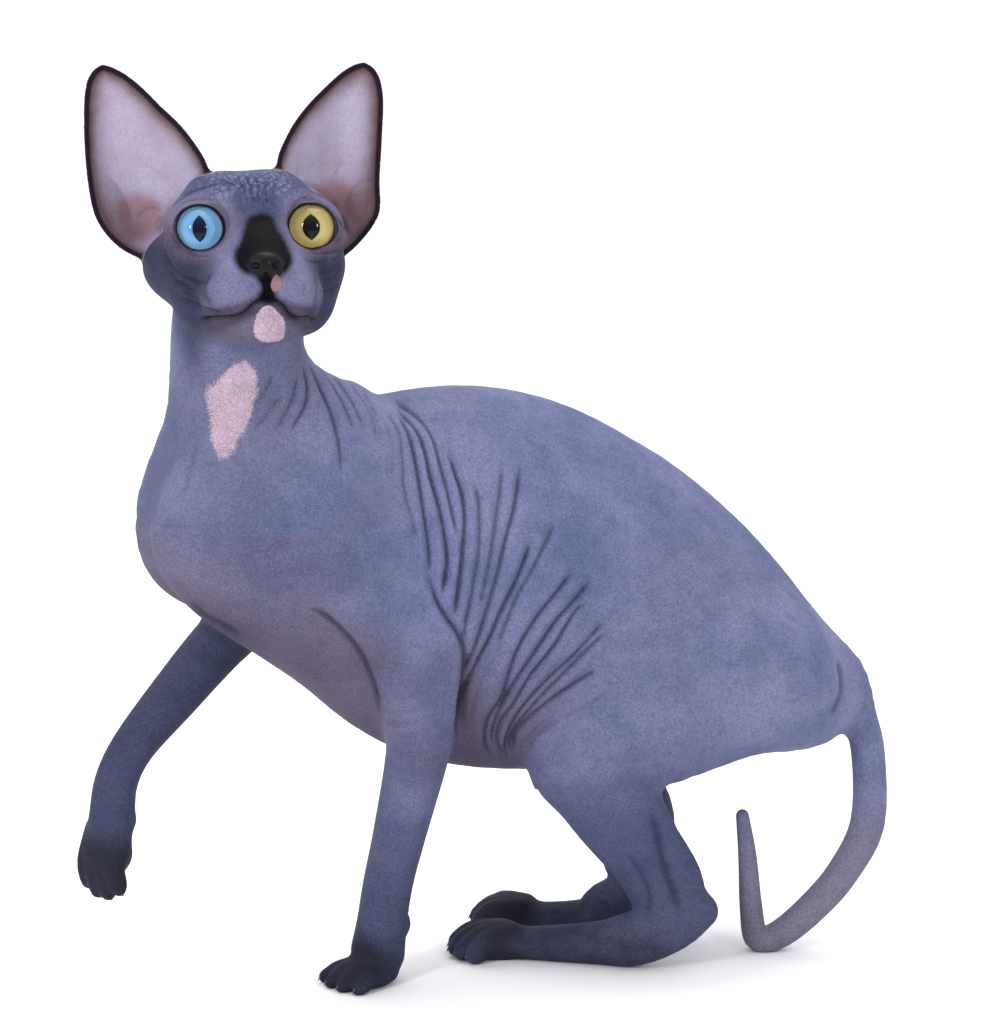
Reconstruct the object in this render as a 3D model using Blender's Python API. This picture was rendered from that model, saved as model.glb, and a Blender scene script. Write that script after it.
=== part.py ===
"""A sphynx cat, life size, standing half crouched with its right forepaw raised and its face turned aside.

The flesh is shaped in millimetres as one clay figure: swept limbs and rounded masses that melt into one
another, with softened hollows pressed into them. The figure is then parted where a person would name the
parts, and the eyes and the thin cups of the ears are set on it.
+X runs toward the tail and -Y to the cat's left.
"""
import math
from collections import namedtuple

import bmesh
import bpy
import numpy as np
import openvdb
from mathutils import Matrix

MM = 0.001
GAP = 0.3
VOXEL = 2.0
HEAD_VOXEL = 1.1
COARSE = 4
FAR = 60.0
HEAD_TRIANGLES = 3600
BODY_TRIANGLES = 5600
# Heights between which the head is meshed more finely, overlapping at the neck
HEAD_WINDOW = 268.0
NECK_WINDOW = 335.0

# Where the face points: the midpoint between the eyes, and how the head is turned
FACE = np.array((-101.3, -120.0, 345.4))
HEAD_YAW = math.radians(10)
HEAD_PITCH = math.radians(-14)
EYE_APART = 23.3
EYE_DEPTH = 6.5
EYE_RADIUS = 10.8

# Directions of the two ends of the bent body
LEFT_OF_HIPS = (0.0, -1.0, 0.0)
LEFT_OF_CHEST = (0.77, -0.64, 0.0)

Form = namedtuple("Form", "low high distance blend carves")
FORMS = []

SKIN = (0.12, 0.12, 0.17)
LOOKS = {
    "eye_right": ((0.25, 0.5, 0.75), 0.1), "eye_left": ((0.6, 0.55, 0.15), 0.1),
    "ear_right": ((0.3, 0.2, 0.25), 0.6), "ear_left": ((0.3, 0.2, 0.25), 0.6)}


def turn(yaw=0.0, pitch=0.0, roll=0.0):
    """Rows are the turned X, Y and Z directions."""
    turned = Matrix.Rotation(yaw, 3, "Z") @ Matrix.Rotation(pitch, 3, "X") @ Matrix.Rotation(roll, 3, "Y")
    return np.array(turned).T


HEAD_TURN = turn(HEAD_YAW, HEAD_PITCH)


def on_head(*place):
    """A place given from the midpoint of the eyes (right of the face's own view, back, up) in the figure."""
    return FACE + np.array(place) @ HEAD_TURN


def on_head_all(places):
    return FACE + np.asarray(places) @ HEAD_TURN


def melt(first, second, width):
    """The smaller of two distances, rounded over where they are nearly equal."""
    overlap = np.maximum(width - np.abs(first - second), 0.0)
    return np.minimum(first, second) - overlap * overlap / (4.0 * width)


def rounded(offsets, sizes):
    """Distance to an ellipsoid from offsets along its axes."""
    reach = np.sqrt(sum((offset / size) ** 2 for offset, size in zip(offsets, sizes)))
    slope = np.sqrt(sum((offset / size**2) ** 2 for offset, size in zip(offsets, sizes)))
    return reach * (reach - 1.0) / np.maximum(slope, 1e-6)


def ball(place, sizes, blend=8.0, axes=None, carves=False):
    """Adds or presses in an ellipsoid, its half sizes along the rows of axes."""
    place = np.array(place, np.float32)
    axes = np.eye(3, dtype=np.float32) if axes is None else np.array(axes, np.float32)
    sizes = np.array(sizes, np.float32)
    half = np.sqrt(((axes * sizes[:, None]) ** 2).sum(0))

    def distance(points):
        local = (points - place) @ axes.T
        return rounded(local.T, sizes)

    FORMS.append(Form(place - half, place + half, distance, blend, carves))


def smooth_path(stations, steps):
    """More stations along a smooth curve through the given ones."""
    given = np.array(stations, float)
    padded = np.vstack((2 * given[0] - given[1], given, 2 * given[-1] - given[-2]))
    found = []
    for before, start, end, after in zip(padded, padded[1:], padded[2:], padded[3:]):
        for step in range(steps):
            t = step / steps
            found.append(0.5 * (2 * start + (end - before) * t
                                + (2 * before - 5 * start + 4 * end - after) * t**2
                                + (3 * start - before - 3 * end + after) * t**3))
    return np.vstack((found, given[-1]))


def frames(places, sides):
    """The side and front directions at each place of a path, side as near as may be to the one asked for."""
    along = np.gradient(places, axis=0)
    along /= np.linalg.norm(along, axis=1)[:, None]
    share = np.linspace(0.0, 1.0, len(places))[:, None]
    wanted = (1 - share) * np.array(sides[0], float) + share * np.array(sides[-1], float)
    side = wanted - (wanted * along).sum(1)[:, None] * along
    side /= np.linalg.norm(side, axis=1)[:, None]
    return side, np.cross(along, side)


def limb(stations, sides=(LEFT_OF_HIPS,), blend=8.0, steps=4, carves=False):
    """Sweeps an oval through stations (x, y, z, half width, front, back); front is along x side."""
    path = smooth_path(stations, steps)
    side, front = frames(path[:, :3], sides)
    path, side, front = (values.astype(np.float32) for values in (path, side, front))
    half = path[:, 3:].max(1)[:, None]
    lows = np.minimum(path[:-1, :3] - half[:-1], path[1:, :3] - half[1:])
    highs = np.maximum(path[:-1, :3] + half[:-1], path[1:, :3] + half[1:])
    reach = 1.6 * blend + 2.5 * COARSE * VOXEL

    def piece(points, i):
        start, end = path[i], path[i + 1]
        axis = end[:3] - start[:3]
        share = np.clip((points - start[:3]) @ axis / (axis @ axis), 0.0, 1.0)
        offset = points - start[:3] - share[:, None] * axis
        across = (1 - share) * (offset @ side[i]) + share * (offset @ side[i + 1])
        ahead = (1 - share) * (offset @ front[i]) + share * (offset @ front[i + 1])
        beyond = offset @ (axis / np.linalg.norm(axis))
        wide, fore, aft = (start[3:, None] + share * (end - start)[3:, None])
        deep = np.where(ahead > 0, fore, aft)
        ended = ((share == 0) & (i == 0)) | ((share == 1) & (i == len(path) - 2))
        cap = np.where(ended, np.minimum(wide, deep), np.maximum(wide, deep))
        return rounded((across, ahead, beyond), (wide, deep, cap))

    def distance(points):
        found = np.full(len(points), FAR, np.float32)
        for i in range(len(path) - 1):
            near = np.flatnonzero(((points > lows[i] - reach) & (points < highs[i] + reach)).all(1))
            if len(near):
                found[near] = np.minimum(found[near], piece(points[near], i))
        return found

    FORMS.append(Form(lows.min(0), highs.max(0), distance, blend, carves))


def field(points, margin):
    """Distance from each point to the figure's skin, negative inside, true only within the margin."""
    found = np.full(len(points), FAR, np.float32)
    for form in FORMS:
        reach = 1.6 * form.blend + margin
        near = np.flatnonzero(((points > form.low - reach) & (points < form.high + reach)).all(1))
        own = form.distance(points[near])
        if form.carves:
            found[near] = -melt(-found[near], own, form.blend)
        else:
            found[near] = melt(found[near], own, form.blend)
    return found


def body_forms():
    """Trunk from the rump to the front of the chest, bent to the left, then nape and neck."""
    limb([(143, 1, 114, 15, 20, 8), (126, 0, 122, 36, 36, 22), (100, 0, 142, 48, 45, 50),
          (68, -2, 160, 54, 58, 72), (28, -10, 172, 54, 74, 84), (-11, -24, 180, 51, 84.5, 86),
          (-46, -43, 190, 46, 74.5, 70), (-76, -60, 200, 42, 56, 56), (-101, -74, 208, 36, 46, 47),
          (-119, -86, 212, 24, 32, 35)], (LEFT_OF_HIPS, LEFT_OF_CHEST), blend=1.0, steps=6)
    limb([(-84, -58, 196, 38, 40, 40), (-96, -63, 226, 41, 40, 40), (-107, -66, 252, 37, 35, 36),
          (-113, -74, 283, 29.5, 29, 29), (-111, -82, 310, 28, 30, 27), (-104, -88, 328, 27, 28, 26)],
         (LEFT_OF_CHEST, (0.98, -0.17, 0.0)), blend=20.0)
    ball((-80, -60, 262), (22, 20, 12), 14.0)


def head_form(x, y, z, sizes, blend, pair=False, carves=False):
    for side in (-1, 1) if pair else (1,):
        ball(on_head(side * x, y, z), sizes, blend, HEAD_TURN, carves)


def head_forms():
    """Skull, brow, bridge, cheeks, muzzle, nose and chin, then lids, mouth and nostrils."""
    head_form(0, 30, 1, (29, 35, 25), 10)
    head_form(0, 8, 7, (24, 18, 16), 10)
    head_form(26, 25, -13, (13, 22, 16), 12, pair=True)
    head_form(-33, 32, -11, (12, 20, 12), 9)
    head_form(-15, 27, 15, (12, 13, 10.5), 13)
    head_form(12, 27, 15, (12, 13, 10.5), 13)
    head_form(20, 9, -15, (15, 16, 13), 10, pair=True)
    head_form(17.5, 16, -31, (15, 20, 13), 10, pair=True)
    head_form(0, 4, -37, (20, 22, 12), 8)
    head_form(0, -6, -29, (21, 16, 13), 9)
    head_form(10.5, -9, -19, (9.5, 9.5, 9.5), 9, pair=True)
    head_form(12, -13, -30.5, (12.5, 11.5, 9.5), 8, pair=True)
    head_form(0, -12.5, -43.5, (11, 11, 7.5), 6)
    bridge = [(0, 4, 5, 14, 9, 10), (0, -7, -3, 12, 7, 9), (0, -18, -11.5, 10.5, 6.5, 8),
              (0, -24.5, -17, 8, 5, 7)]
    limb([(*on_head(*row[:3]), *row[3:]) for row in bridge], (HEAD_TURN[0],), blend=7.0)
    head_form(0, -27.5, -19.8, (7.5, 4.8, 5.2), 2.5)
    head_form(24, 22, 4, (10.5, 11, 13), 5, pair=True)
    head_form(22.5, EYE_DEPTH + 3, 0, (15.5, 13.5, 14.5), 4, pair=True)
    head_form(EYE_APART, EYE_DEPTH, 0, (12.2, 12.2, 12.2), 2.5, pair=True)
    head_form(23.6, -6, 0, (12.4, 9.5, 11.3), 1, pair=True, carves=True)
    head_form(4.6, -32.3, -20.6, (2.1, 3.0, 1.7), 0.8, pair=True, carves=True)
    lips = [(-24, -7, -41), (-20, -15, -42), (-14, -23, -42), (-7, -28, -39), (0, -28, -35),
            (7, -28, -39), (14, -23, -42), (20, -15, -42), (24, -7, -41)]
    limb([(*on_head(*place), 1.3, 1.3, 1.3) for place in lips], (HEAD_TURN[2],), blend=1.0, carves=True)


def foreleg_forms():
    """The left foreleg stands; the right one is raised with its paw hanging."""
    limb([(-50, -68, 242, 12, 18, 20), (-66, -84, 228, 15, 21, 25), (-78, -96, 208, 17, 21, 26),
          (-58, -88, 184, 16, 22, 26), (-40, -74, 160, 16, 20, 21)], (LEFT_OF_CHEST,), blend=14.0)
    limb([(-38, -74, 164, 15, 19, 19), (-38, -71, 144, 16, 20, 20), (-35, -67, 122, 15, 17, 17),
          (-37, -63, 104, 13.5, 14.5, 14.5), (-45, -59, 68, 11.5, 12.3, 12.3), (-50, -56, 46, 11, 11.5, 11.5),
          (-53, -55, 27, 11.5, 11, 11), (-55, -53, 13, 13, 11, 11)], (LEFT_OF_CHEST,), blend=7.0)
    limb([(-106, -34, 248, 12, 18, 20), (-127, -44, 236, 16, 23, 24), (-142, -51, 212, 17, 18, 22),
          (-127, -37, 186, 15, 18, 22), (-108, -22, 168, 13, 13, 15)], (LEFT_OF_CHEST,), blend=24.0)
    limb([(-104, -20, 169, 13.5, 14, 14), (-125, -38, 152, 12.5, 13, 13), (-145, -58, 131, 11, 11.5, 11.5),
          (-161, -75, 113, 9.6, 9.6, 9.6), (-168, -82, 99, 9.5, 9.5, 9.5), (-170, -85, 84, 10.5, 9.5, 9.5),
          (-172, -87, 70, 11, 8.5, 9)], (LEFT_OF_CHEST,), blend=8.0)
    ball((-157, -79, 114), (4, 4, 4), 4.0)
    ball((-162.5, -84.5, 82), (2.6, 2.6, 3.6), 3.0)
    ball((-43.5, -51, 25), (3.2, 3.2, 4.5), 3.5)
    ball((-135, -56, 197), (17, 18, 17), 20.0)


def paw(place, turned, toe_length, spread, high, blend=2.5):
    """Four toes in a fan, each from the ball of the foot over a knuckle to its tip."""
    for offset, shorter in ((-1.0, 3.0), (-0.34, 0.0), (0.34, 0.0), (1.0, 3.0)):
        aside = offset * spread
        reach = toe_length - shorter
        row = [(0.55 * aside, 5, 0.55 * high, 5, 0.4 * high, 0.43 * high),
               (0.9 * aside, -0.45 * reach, 0.58 * high, 4.4, 0.36 * high, 0.42 * high),
               (1.02 * aside, -0.85 * reach, 0.34 * high, 4.2, 0.33 * high, 0.36 * high),
               (1.05 * aside, -reach, 0.24 * high, 3.2, 3.2, 3.4)]
        places = [np.array(place) + np.array(at[:3]) @ turned for at in row]
        limb([(*at, *sizes[3:]) for at, sizes in zip(places, row)], (turned[0],), blend, steps=3)


def foot_forms():
    """Paws turned the way each foot points; the raised one hangs with its toes down."""
    for place, sizes in (((-61, -59, 4), (14, 13, 6)), ((-3, -15, 6), (15, 12.5, 8.5)),
                         ((4, 35, 5), (14.5, 12.5, 8)), ((-172, -84, 66), (10, 8.5, 10))):
        ball(place, sizes, 5.0)
    paw((-59, -57, 0), turn(math.radians(-50)), 18, 11.5, 9.5)
    paw((-1, -14, 0), turn(math.radians(-68)), 20, 10.5, 15.0)
    paw((6, 34, 0), turn(math.radians(-104)), 17, 10, 14.0)
    paw((-170, -81, 71), turn(math.radians(-40), math.radians(80)), 22, 9, 12.0)


def hindleg_forms():
    """Both hind legs are folded, with the soles flat on the floor."""
    for side, knee, ankle, heel, ball_of_foot, thin in (
            (-1, (32, -46), (79, -38), (91, -38), (-3, -15), 0),
            (1, (30, 42), (69, 22), (79, 19), (4, 34), 2.5)):
        left = LEFT_OF_HIPS
        limb([(124, side * 24, 130, 24, 30, 24), (98, side * 33, 127, 26, 40, 31),
              (64, side * 41, 112, 25, 34, 27), (*knee, 95, 17, 17, 15)], (left,), blend=14.0)
        limb([(knee[0], knee[1], 93, 17, 15, 22 - 2 * thin),
              (knee[0] + 17, knee[1] * 0.97, 74, 15, 17, 24 - 2 * thin),
              (knee[0] + 32, knee[1] * 0.9, 56, 12, 17, 19), (ankle[0] - 5, ankle[1], 40, 10, 17, 18),
              (*ankle, 27, 9.5, 16, 15)], (left,), blend=8.0)
        middle = [a + 0.42 * (b - a) for a, b in zip(ankle, ball_of_foot)]
        limb([(*heel, 27, 8, 8, 8), (*ankle, 20, 10, 12, 11),
              (ankle[0] - 17, ankle[1] + 3, 13 - thin, 11, 13, 12),
              (*middle, 10 - thin, 11, 9 - thin, 10),
              (ball_of_foot[0] + 16, ball_of_foot[1] - 4, 7.5 - thin, 11.5, 6, 8),
              (*ball_of_foot, 7 - thin / 2, 12.5, 6, 7.5)], (left,), blend=5.0)


def tail_forms():
    limb([(136, 2, 132, 17, 16, 19), (155, 3, 125, 12, 12, 14), (165, 3, 108, 8.8, 8.2, 8.8),
          (170, 2, 90, 7.9, 7.8, 7.8), (170, 0, 58, 7.8, 8, 8), (159, -3, 36, 7.5, 7.5, 7.5),
          (146, -6, 21, 7.2, 7.2, 7.2), (130, -8, 7.6, 6.8, 6.6, 6.6), (119, -9, 5.6, 5.8, 5.8, 5.8),
          (116, -9, 20, 5.3, 5.3, 5.3), (114, -9, 45, 4.3, 4.3, 4.3), (111.5, -9, 64, 3.1, 3.1, 3.1)],
         (LEFT_OF_HIPS,), blend=8.0)


EARS = {
    "ear_right": (
        [(-15, 20, 19), (-18, 17, 28), (-21, 18, 35), (-28, 21, 46), (-36, 24, 55), (-43.5, 26, 63.5),
         (-50, 27.5, 69.4), (-55.3, 28.8, 72.7), (-58.8, 29.3, 74)],
        [(-40, 31, -10), (-54, 34, -2), (-63, 35, 10), (-66, 35, 25), (-67, 34, 42), (-66.8, 32, 57),
         (-65.6, 31, 66.5), (-63, 30.4, 71.6), (-59.6, 29.5, 74)]),
    "ear_left": (
        [(10, 20, 19), (12, 17, 28), (14, 18, 35), (20, 21, 46), (27, 24, 55), (35, 26, 63),
         (42, 27.7, 69.3), (47.6, 28.8, 72.8), (51.6, 29.3, 74.1)],
        [(34, 31, -12), (46, 34, -3), (56, 35, 10), (57, 35, 25), (58.5, 34, 42), (59.5, 32, 58),
         (58.5, 31, 67), (56, 30.4, 71.8), (52.4, 29.5, 74.1)])}
EAR_CUPS = (15, 20, 20, 16, 11, 6.5, 3.5, 1.5, 0.3)
EAR_THICKNESS = 1.8


def unit(rows):
    return rows / np.linalg.norm(rows, axis=-1)[..., None]


def triangles(quads):
    quads = quads.reshape(-1, 4)
    return np.vstack((quads[:, :3], quads[:, (0, 2, 3)]))


def ear_mesh(name, grow=0.0, steps=2, columns=7):
    """A thin cup between its inner and outer edges, closed round its rim, or the same grown on every side."""
    inner, outer = (smooth_path(edge, steps) for edge in EARS[name])
    apart = grow * unit(outer - inner)
    inner, outer = inner - apart, outer + apart
    cups = smooth_path([(cup, 0.0) for cup in EAR_CUPS], steps)[:, 0]
    share = np.linspace(0.0, 1.0, columns)
    across = inner[:, None] * (1 - share)[None, :, None] + outer[:, None] * share[None, :, None]
    across[..., 1] += cups[:, None] * (4 * share * (1 - share))[None]
    across[0] += grow * unit(across[0] - across[1])
    across[-1] += grow * unit(across[-1] - across[-2])
    down, over = np.gradient(across, axis=(0, 1))
    out = unit(np.cross(down, over))
    out *= np.sign(out[..., 1].mean())
    front = on_head_all(across - grow * out)
    back = on_head_all(across + (EAR_THICKNESS + grow) * out)
    high, wide = front.shape[:2]
    number = np.arange(high * wide).reshape(high, wide)
    sheet = triangles(np.stack((number[:-1, :-1], number[:-1, 1:], number[1:, 1:], number[1:, :-1]), -1))
    rim = np.concatenate((number[0, :-1], number[:-1, -1], number[-1, :0:-1], number[:0:-1, 0]))
    far = high * wide
    ring = triangles(np.stack((rim, np.roll(rim, -1), np.roll(rim, -1) + far, rim + far), -1))
    faces = np.vstack((sheet, sheet[:, ::-1] + far, ring[:, ::-1]))
    return np.vstack((front.reshape(-1, 3), back.reshape(-1, 3))), faces


def shape_figure():
    body_forms()
    foreleg_forms()
    hindleg_forms()
    foot_forms()
    tail_forms()
    head_forms()


def skin_mesh(voxel, bottom=None, top=None):
    """Vertices and quads of the skin between two heights, found coarsely and then drawn finely."""
    cell = COARSE * voxel
    low = np.min([form.low for form in FORMS], axis=0) - 2 * cell
    high = np.max([form.high for form in FORMS], axis=0) + 2 * cell
    low[2] = low[2] if bottom is None else bottom
    high[2] = high[2] if top is None else top
    counts = np.ceil((high - low) / cell).astype(int)
    ticks = [low[i] + cell * (np.arange(counts[i]) + 0.5) for i in range(3)]
    centres = np.stack(np.meshgrid(*ticks, indexing="ij"), -1).reshape(-1, 3).astype(np.float32)
    rough = field(centres, 1.6 * cell)
    near = np.flatnonzero(np.abs(rough) < 1.3 * cell)
    spread = np.repeat(np.repeat(np.repeat(rough.reshape(counts), COARSE, 0), COARSE, 1), COARSE, 2)
    grid = np.where(spread > 0, 3 * voxel, -3 * voxel).astype(np.float32)
    steps = (np.arange(COARSE) + 0.5) * voxel - cell / 2
    inner = np.stack(np.meshgrid(steps, steps, steps, indexing="ij"), -1).reshape(-1, 3).astype(np.float32)
    fine = field((centres[near, None] + inner[None]).reshape(-1, 3), 4 * voxel)
    corner = np.stack(np.unravel_index(near, counts), -1) * COARSE
    offsets = np.stack(np.unravel_index(np.arange(COARSE**3), (COARSE,) * 3), -1)
    i, j, k = (corner[:, None] + offsets[None]).reshape(-1, 3).T
    grid[i, j, k] = np.clip(fine, -3 * voxel, 3 * voxel)
    volume = openvdb.FloatGrid(3 * voxel)
    volume.copyFromArray(grid)
    places, quads = volume.convertToQuads(0.0)
    return low + voxel / 2 + places * voxel, quads


def mesh_object(name, places, faces):
    mesh = bpy.data.meshes.new(name)
    mesh.from_pydata([tuple(place * MM) for place in np.asarray(places)], [], [tuple(face) for face in faces])
    made = bpy.data.objects.new(name, mesh)
    bpy.context.scene.collection.objects.link(made)
    return made


def keep_modified(item):
    """Takes what the modifiers make as the mesh itself."""
    graph = bpy.context.evaluated_depsgraph_get()
    item.data = bpy.data.meshes.new_from_object(item.evaluated_get(graph))
    item.modifiers.clear()


def thin_out(item, triangles):
    tidy = item.modifiers.new("thin out", "DECIMATE")
    tidy.ratio = triangles / (2 * len(item.data.polygons))
    tidy.use_collapse_triangulate = True
    keep_modified(item)


def cut(item, operation, other):
    step = item.modifiers.new(operation.lower(), "BOOLEAN")
    step.operation = operation
    step.solver = "EXACT"
    step.object = other
    keep_modified(item)


def keep_largest(item):
    """Drops every scrap that a cut left loose."""
    form = bmesh.new()
    form.from_mesh(item.data)
    bmesh.ops.remove_doubles(form, verts=form.verts, dist=2e-6)
    form.faces.ensure_lookup_table()
    unseen = set(form.verts)
    shells = []
    while unseen:
        shell, edge = set(), [next(iter(unseen))]
        while edge:
            vert = edge.pop()
            if vert in unseen:
                unseen.discard(vert)
                shell.add(vert)
                edge.extend(link.other_vert(vert) for link in vert.link_edges)
        shells.append(shell)
    shells.sort(key=len, reverse=True)
    bmesh.ops.delete(form, geom=[vert for shell in shells[1:] for vert in shell], context="VERTS")
    form.to_mesh(item.data)
    form.free()


def box(place, sizes, axes=None):
    """A box from its middle and half sizes, turned so that its sides run along the rows of axes."""
    axes = np.eye(3) if axes is None else np.array(axes)
    signs = np.array([(x, y, z) for x in (-1, 1) for y in (-1, 1) for z in (-1, 1)])
    corners = np.array(place) + signs * np.array(sizes) @ axes
    faces = ((0, 1, 3, 2), (4, 6, 7, 5), (0, 4, 5, 1), (2, 3, 7, 6), (0, 2, 6, 4), (1, 5, 7, 3))
    return corners, faces


def egg(place, sizes, axes, rings=10, spokes=18):
    """An ellipsoid from its middle and half sizes along the rows of axes."""
    form = bmesh.new()
    bmesh.ops.create_uvsphere(form, u_segments=spokes, v_segments=rings, radius=1.0)
    points = np.array([vert.co for vert in form.verts]) * np.array(sizes) @ np.array(axes) + np.array(place)
    faces = [[vert.index for vert in face.verts] for face in form.faces]
    form.free()
    return points, faces


def outward(item):
    form = bmesh.new()
    form.from_mesh(item.data)
    bmesh.ops.recalc_face_normals(form, faces=form.faces)
    form.to_mesh(item.data)
    form.free()
    return item


def along(*direction):
    """Three square axes, the first along a direction, the second as level as may be."""
    first = unit(np.array(direction, float))
    second = unit(np.cross((0.0, 0.0, 1.0), first))
    return np.array((first, second, np.cross(first, second)))


def span(low, high):
    """A box between two corners."""
    low, high = np.array(low, float), np.array(high, float)
    return box, (low + high) / 2, (high - low) / 2, None


def beyond(place, direction, deep=300.0):
    """All that lies past a plane."""
    axes = along(*direction)
    return box, np.array(place) + axes[0] * deep, np.array((deep, deep, deep)), axes


HEAD = beyond((-110, -80, 304), (0.0, -0.57, 0.82))

# Where the flesh is parted, in the order of the cuts: each part is what its region holds of what is left
PARTS = (
    ("neck", beyond((-100, -66, 262), (-0.36, -0.10, 0.93))),
    ("forepaw_left", span((-95, -88, -9), (-31, -28, 46))),
    ("forearm_left", span((-72, -88, 46), (-14, -32, 108))),
    ("upper_arm_left", (egg, (-54, -79, 166), (82, 28, 36), along(0.43, 0.37, -0.83))),
    ("forepaw_right", span((-200, -125, 30), (-140, -50, 96))),
    ("forearm_right", (box, (-148, -61, 128), (46, 22, 22), along(-0.62, -0.58, -0.52))),
    ("upper_arm_right", (egg, (-130, -42, 192), (52, 24, 30), along(0.51, 0.44, -0.74))),
    ("hindfoot_left", span((-40, -75, -9), (104.5, 8, 33))),
    ("shank_left", span((0, -80, 33), (104.5, 6, 80))),
    ("thigh_left", (egg, (82, -46, 113), (72, 30, 41), along(-0.92, -0.2, -0.34))),
    ("hindfoot_right", span((-40, 8, -9), (104.5, 75, 33))),
    ("shank_right", span((0, 6, 33), (104.5, 80, 80))),
    ("thigh_right", (egg, (84, 44, 113), (70, 30, 41), along(-0.92, 0.2, -0.34))),
    ("tail_tip", span((104.5, -30, 22), (126, 10, 90))),
    ("tail_bend", span((104.5, -30, -9), (143, 20, 30))),
    ("tail_middle", span((143, -30, -9), (200, 30, 72))),
    ("tail_root", span((152, -16, 72), (200, 20, 111))),
    ("chest", beyond((-22, -28, 180), (-0.87, -0.5, 0.0))),
    ("rump", beyond((92, 0, 150), (0.93, 0.0, -0.36))),
)


def region_tool(region, grow=0.0):
    maker, place, sizes, axes = region
    return outward(mesh_object("region", *maker(place, np.array(sizes) + grow, axes)))


def take_away(item, tool):
    cut(item, "DIFFERENCE", tool)
    bpy.data.objects.remove(tool)


def part_off(flesh, name, region):
    """Makes one named part of what a region holds, and leaves the rest a gap away from it."""
    part = bpy.data.objects.new(name, flesh.data.copy())
    bpy.context.scene.collection.objects.link(part)
    inside = region_tool(region)
    cut(part, "INTERSECT", inside)
    bpy.data.objects.remove(inside)
    keep_largest(part)
    take_away(flesh, region_tool(region, GAP))
    return part


def skin_part(name, voxel, triangles, bottom=None, top=None):
    """A thinned mesh of the figure between two heights, its soles cut flat at the floor."""
    flesh = mesh_object(name, *skin_mesh(voxel, bottom, top))
    thin_out(flesh, triangles)
    if bottom is None:
        take_away(flesh, outward(mesh_object("floor", *box((0, 0, -50), (400, 400, 50)))))
    return flesh


def make_eye(side, radius):
    return egg(on_head(side * EYE_APART, EYE_DEPTH, 0), (radius,) * 3, HEAD_TURN)


def make_head():
    """The head above its cut, with sockets for the eyes and slots for the roots of the ears."""
    flesh = skin_part("head flesh", HEAD_VOXEL, HEAD_TRIANGLES, bottom=HEAD_WINDOW)
    head = part_off(flesh, "head", HEAD)
    bpy.data.objects.remove(flesh)
    for side in (-1, 1):
        take_away(head, outward(mesh_object("socket", *make_eye(side, EYE_RADIUS + GAP))))
    for name in EARS:
        take_away(head, outward(mesh_object("slot", *ear_mesh(name, GAP))))
    keep_largest(head)


def make_body():
    """All below the head, parted where a person would name the parts; what is left over is the belly."""
    belly = skin_part("belly", VOXEL, BODY_TRIANGLES, top=NECK_WINDOW)
    take_away(belly, region_tool(HEAD, GAP))
    for name, region in PARTS:
        part_off(belly, name, region)
    keep_largest(belly)


def colour(item):
    """Its own skin, eye or ear material."""
    look, rough = LOOKS.get(item.name, (SKIN, 0.6))
    material = bpy.data.materials.new(item.name)
    material.use_nodes = True
    shader = material.node_tree.nodes["Principled BSDF"]
    shader.inputs["Base Color"].default_value = (*look, 1.0)
    shader.inputs["Roughness"].default_value = rough
    shader.inputs["Metallic"].default_value = 0.0
    item.data.materials.clear()
    item.data.materials.append(material)


def centre(items):
    """Moves the whole so that the middle of its underside is the origin."""
    corners = np.array([item.matrix_world @ vert.co for item in items for vert in item.data.vertices])
    middle = (corners.min(0) + corners.max(0)) / 2
    for item in items:
        item.data.transform(Matrix.Translation((-middle[0], -middle[1], -corners[:, 2].min())))


def build():
    for old in list(bpy.data.objects):
        bpy.data.objects.remove(old)
    shape_figure()
    make_head()
    make_body()
    for name, side in (("eye_right", -1), ("eye_left", 1)):
        outward(mesh_object(name, *make_eye(side, EYE_RADIUS)))
    for name in EARS:
        outward(mesh_object(name, *ear_mesh(name)))
    items = list(bpy.context.scene.collection.objects)
    for item in items:
        colour(item)
    centre(items)


if __name__ == "__main__":
    build()
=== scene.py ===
"""The sphynx cat in its skin: one seamless hide over every flesh solid, with folds, lids and markings, and
eyes and claws of their own.

The hide is shaped with the same clay forms as the solids, in millimetres in the figure's own frame, meshed
finely and then creased along the fold lines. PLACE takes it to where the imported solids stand.
"""
import math
from collections import namedtuple

import bmesh
import bpy
import numpy as np
import openvdb
from mathutils import Matrix, Vector
from mathutils.bvhtree import BVHTree


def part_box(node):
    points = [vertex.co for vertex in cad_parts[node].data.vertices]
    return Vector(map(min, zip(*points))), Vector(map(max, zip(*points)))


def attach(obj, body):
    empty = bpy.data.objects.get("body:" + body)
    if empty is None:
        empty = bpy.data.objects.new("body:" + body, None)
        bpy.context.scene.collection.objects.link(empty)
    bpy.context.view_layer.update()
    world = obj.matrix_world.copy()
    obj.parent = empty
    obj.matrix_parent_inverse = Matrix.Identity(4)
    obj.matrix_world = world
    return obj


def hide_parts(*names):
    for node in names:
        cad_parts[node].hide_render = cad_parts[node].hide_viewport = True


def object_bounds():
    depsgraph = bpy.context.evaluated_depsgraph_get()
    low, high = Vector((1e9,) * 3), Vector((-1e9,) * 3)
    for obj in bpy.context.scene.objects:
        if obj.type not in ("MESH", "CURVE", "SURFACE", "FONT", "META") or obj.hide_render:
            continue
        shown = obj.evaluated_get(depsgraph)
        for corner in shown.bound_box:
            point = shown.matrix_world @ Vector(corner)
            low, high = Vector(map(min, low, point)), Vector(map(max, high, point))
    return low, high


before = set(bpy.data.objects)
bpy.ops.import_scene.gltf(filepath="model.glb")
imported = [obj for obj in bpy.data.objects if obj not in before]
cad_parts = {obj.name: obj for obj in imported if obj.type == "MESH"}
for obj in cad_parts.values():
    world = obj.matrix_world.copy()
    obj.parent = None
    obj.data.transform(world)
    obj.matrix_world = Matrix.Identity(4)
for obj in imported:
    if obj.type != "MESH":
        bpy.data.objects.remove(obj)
CAD_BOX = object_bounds()

MM = 0.001
VOXEL = 1.0
COARSE = 4
FAR = 60.0
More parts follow.
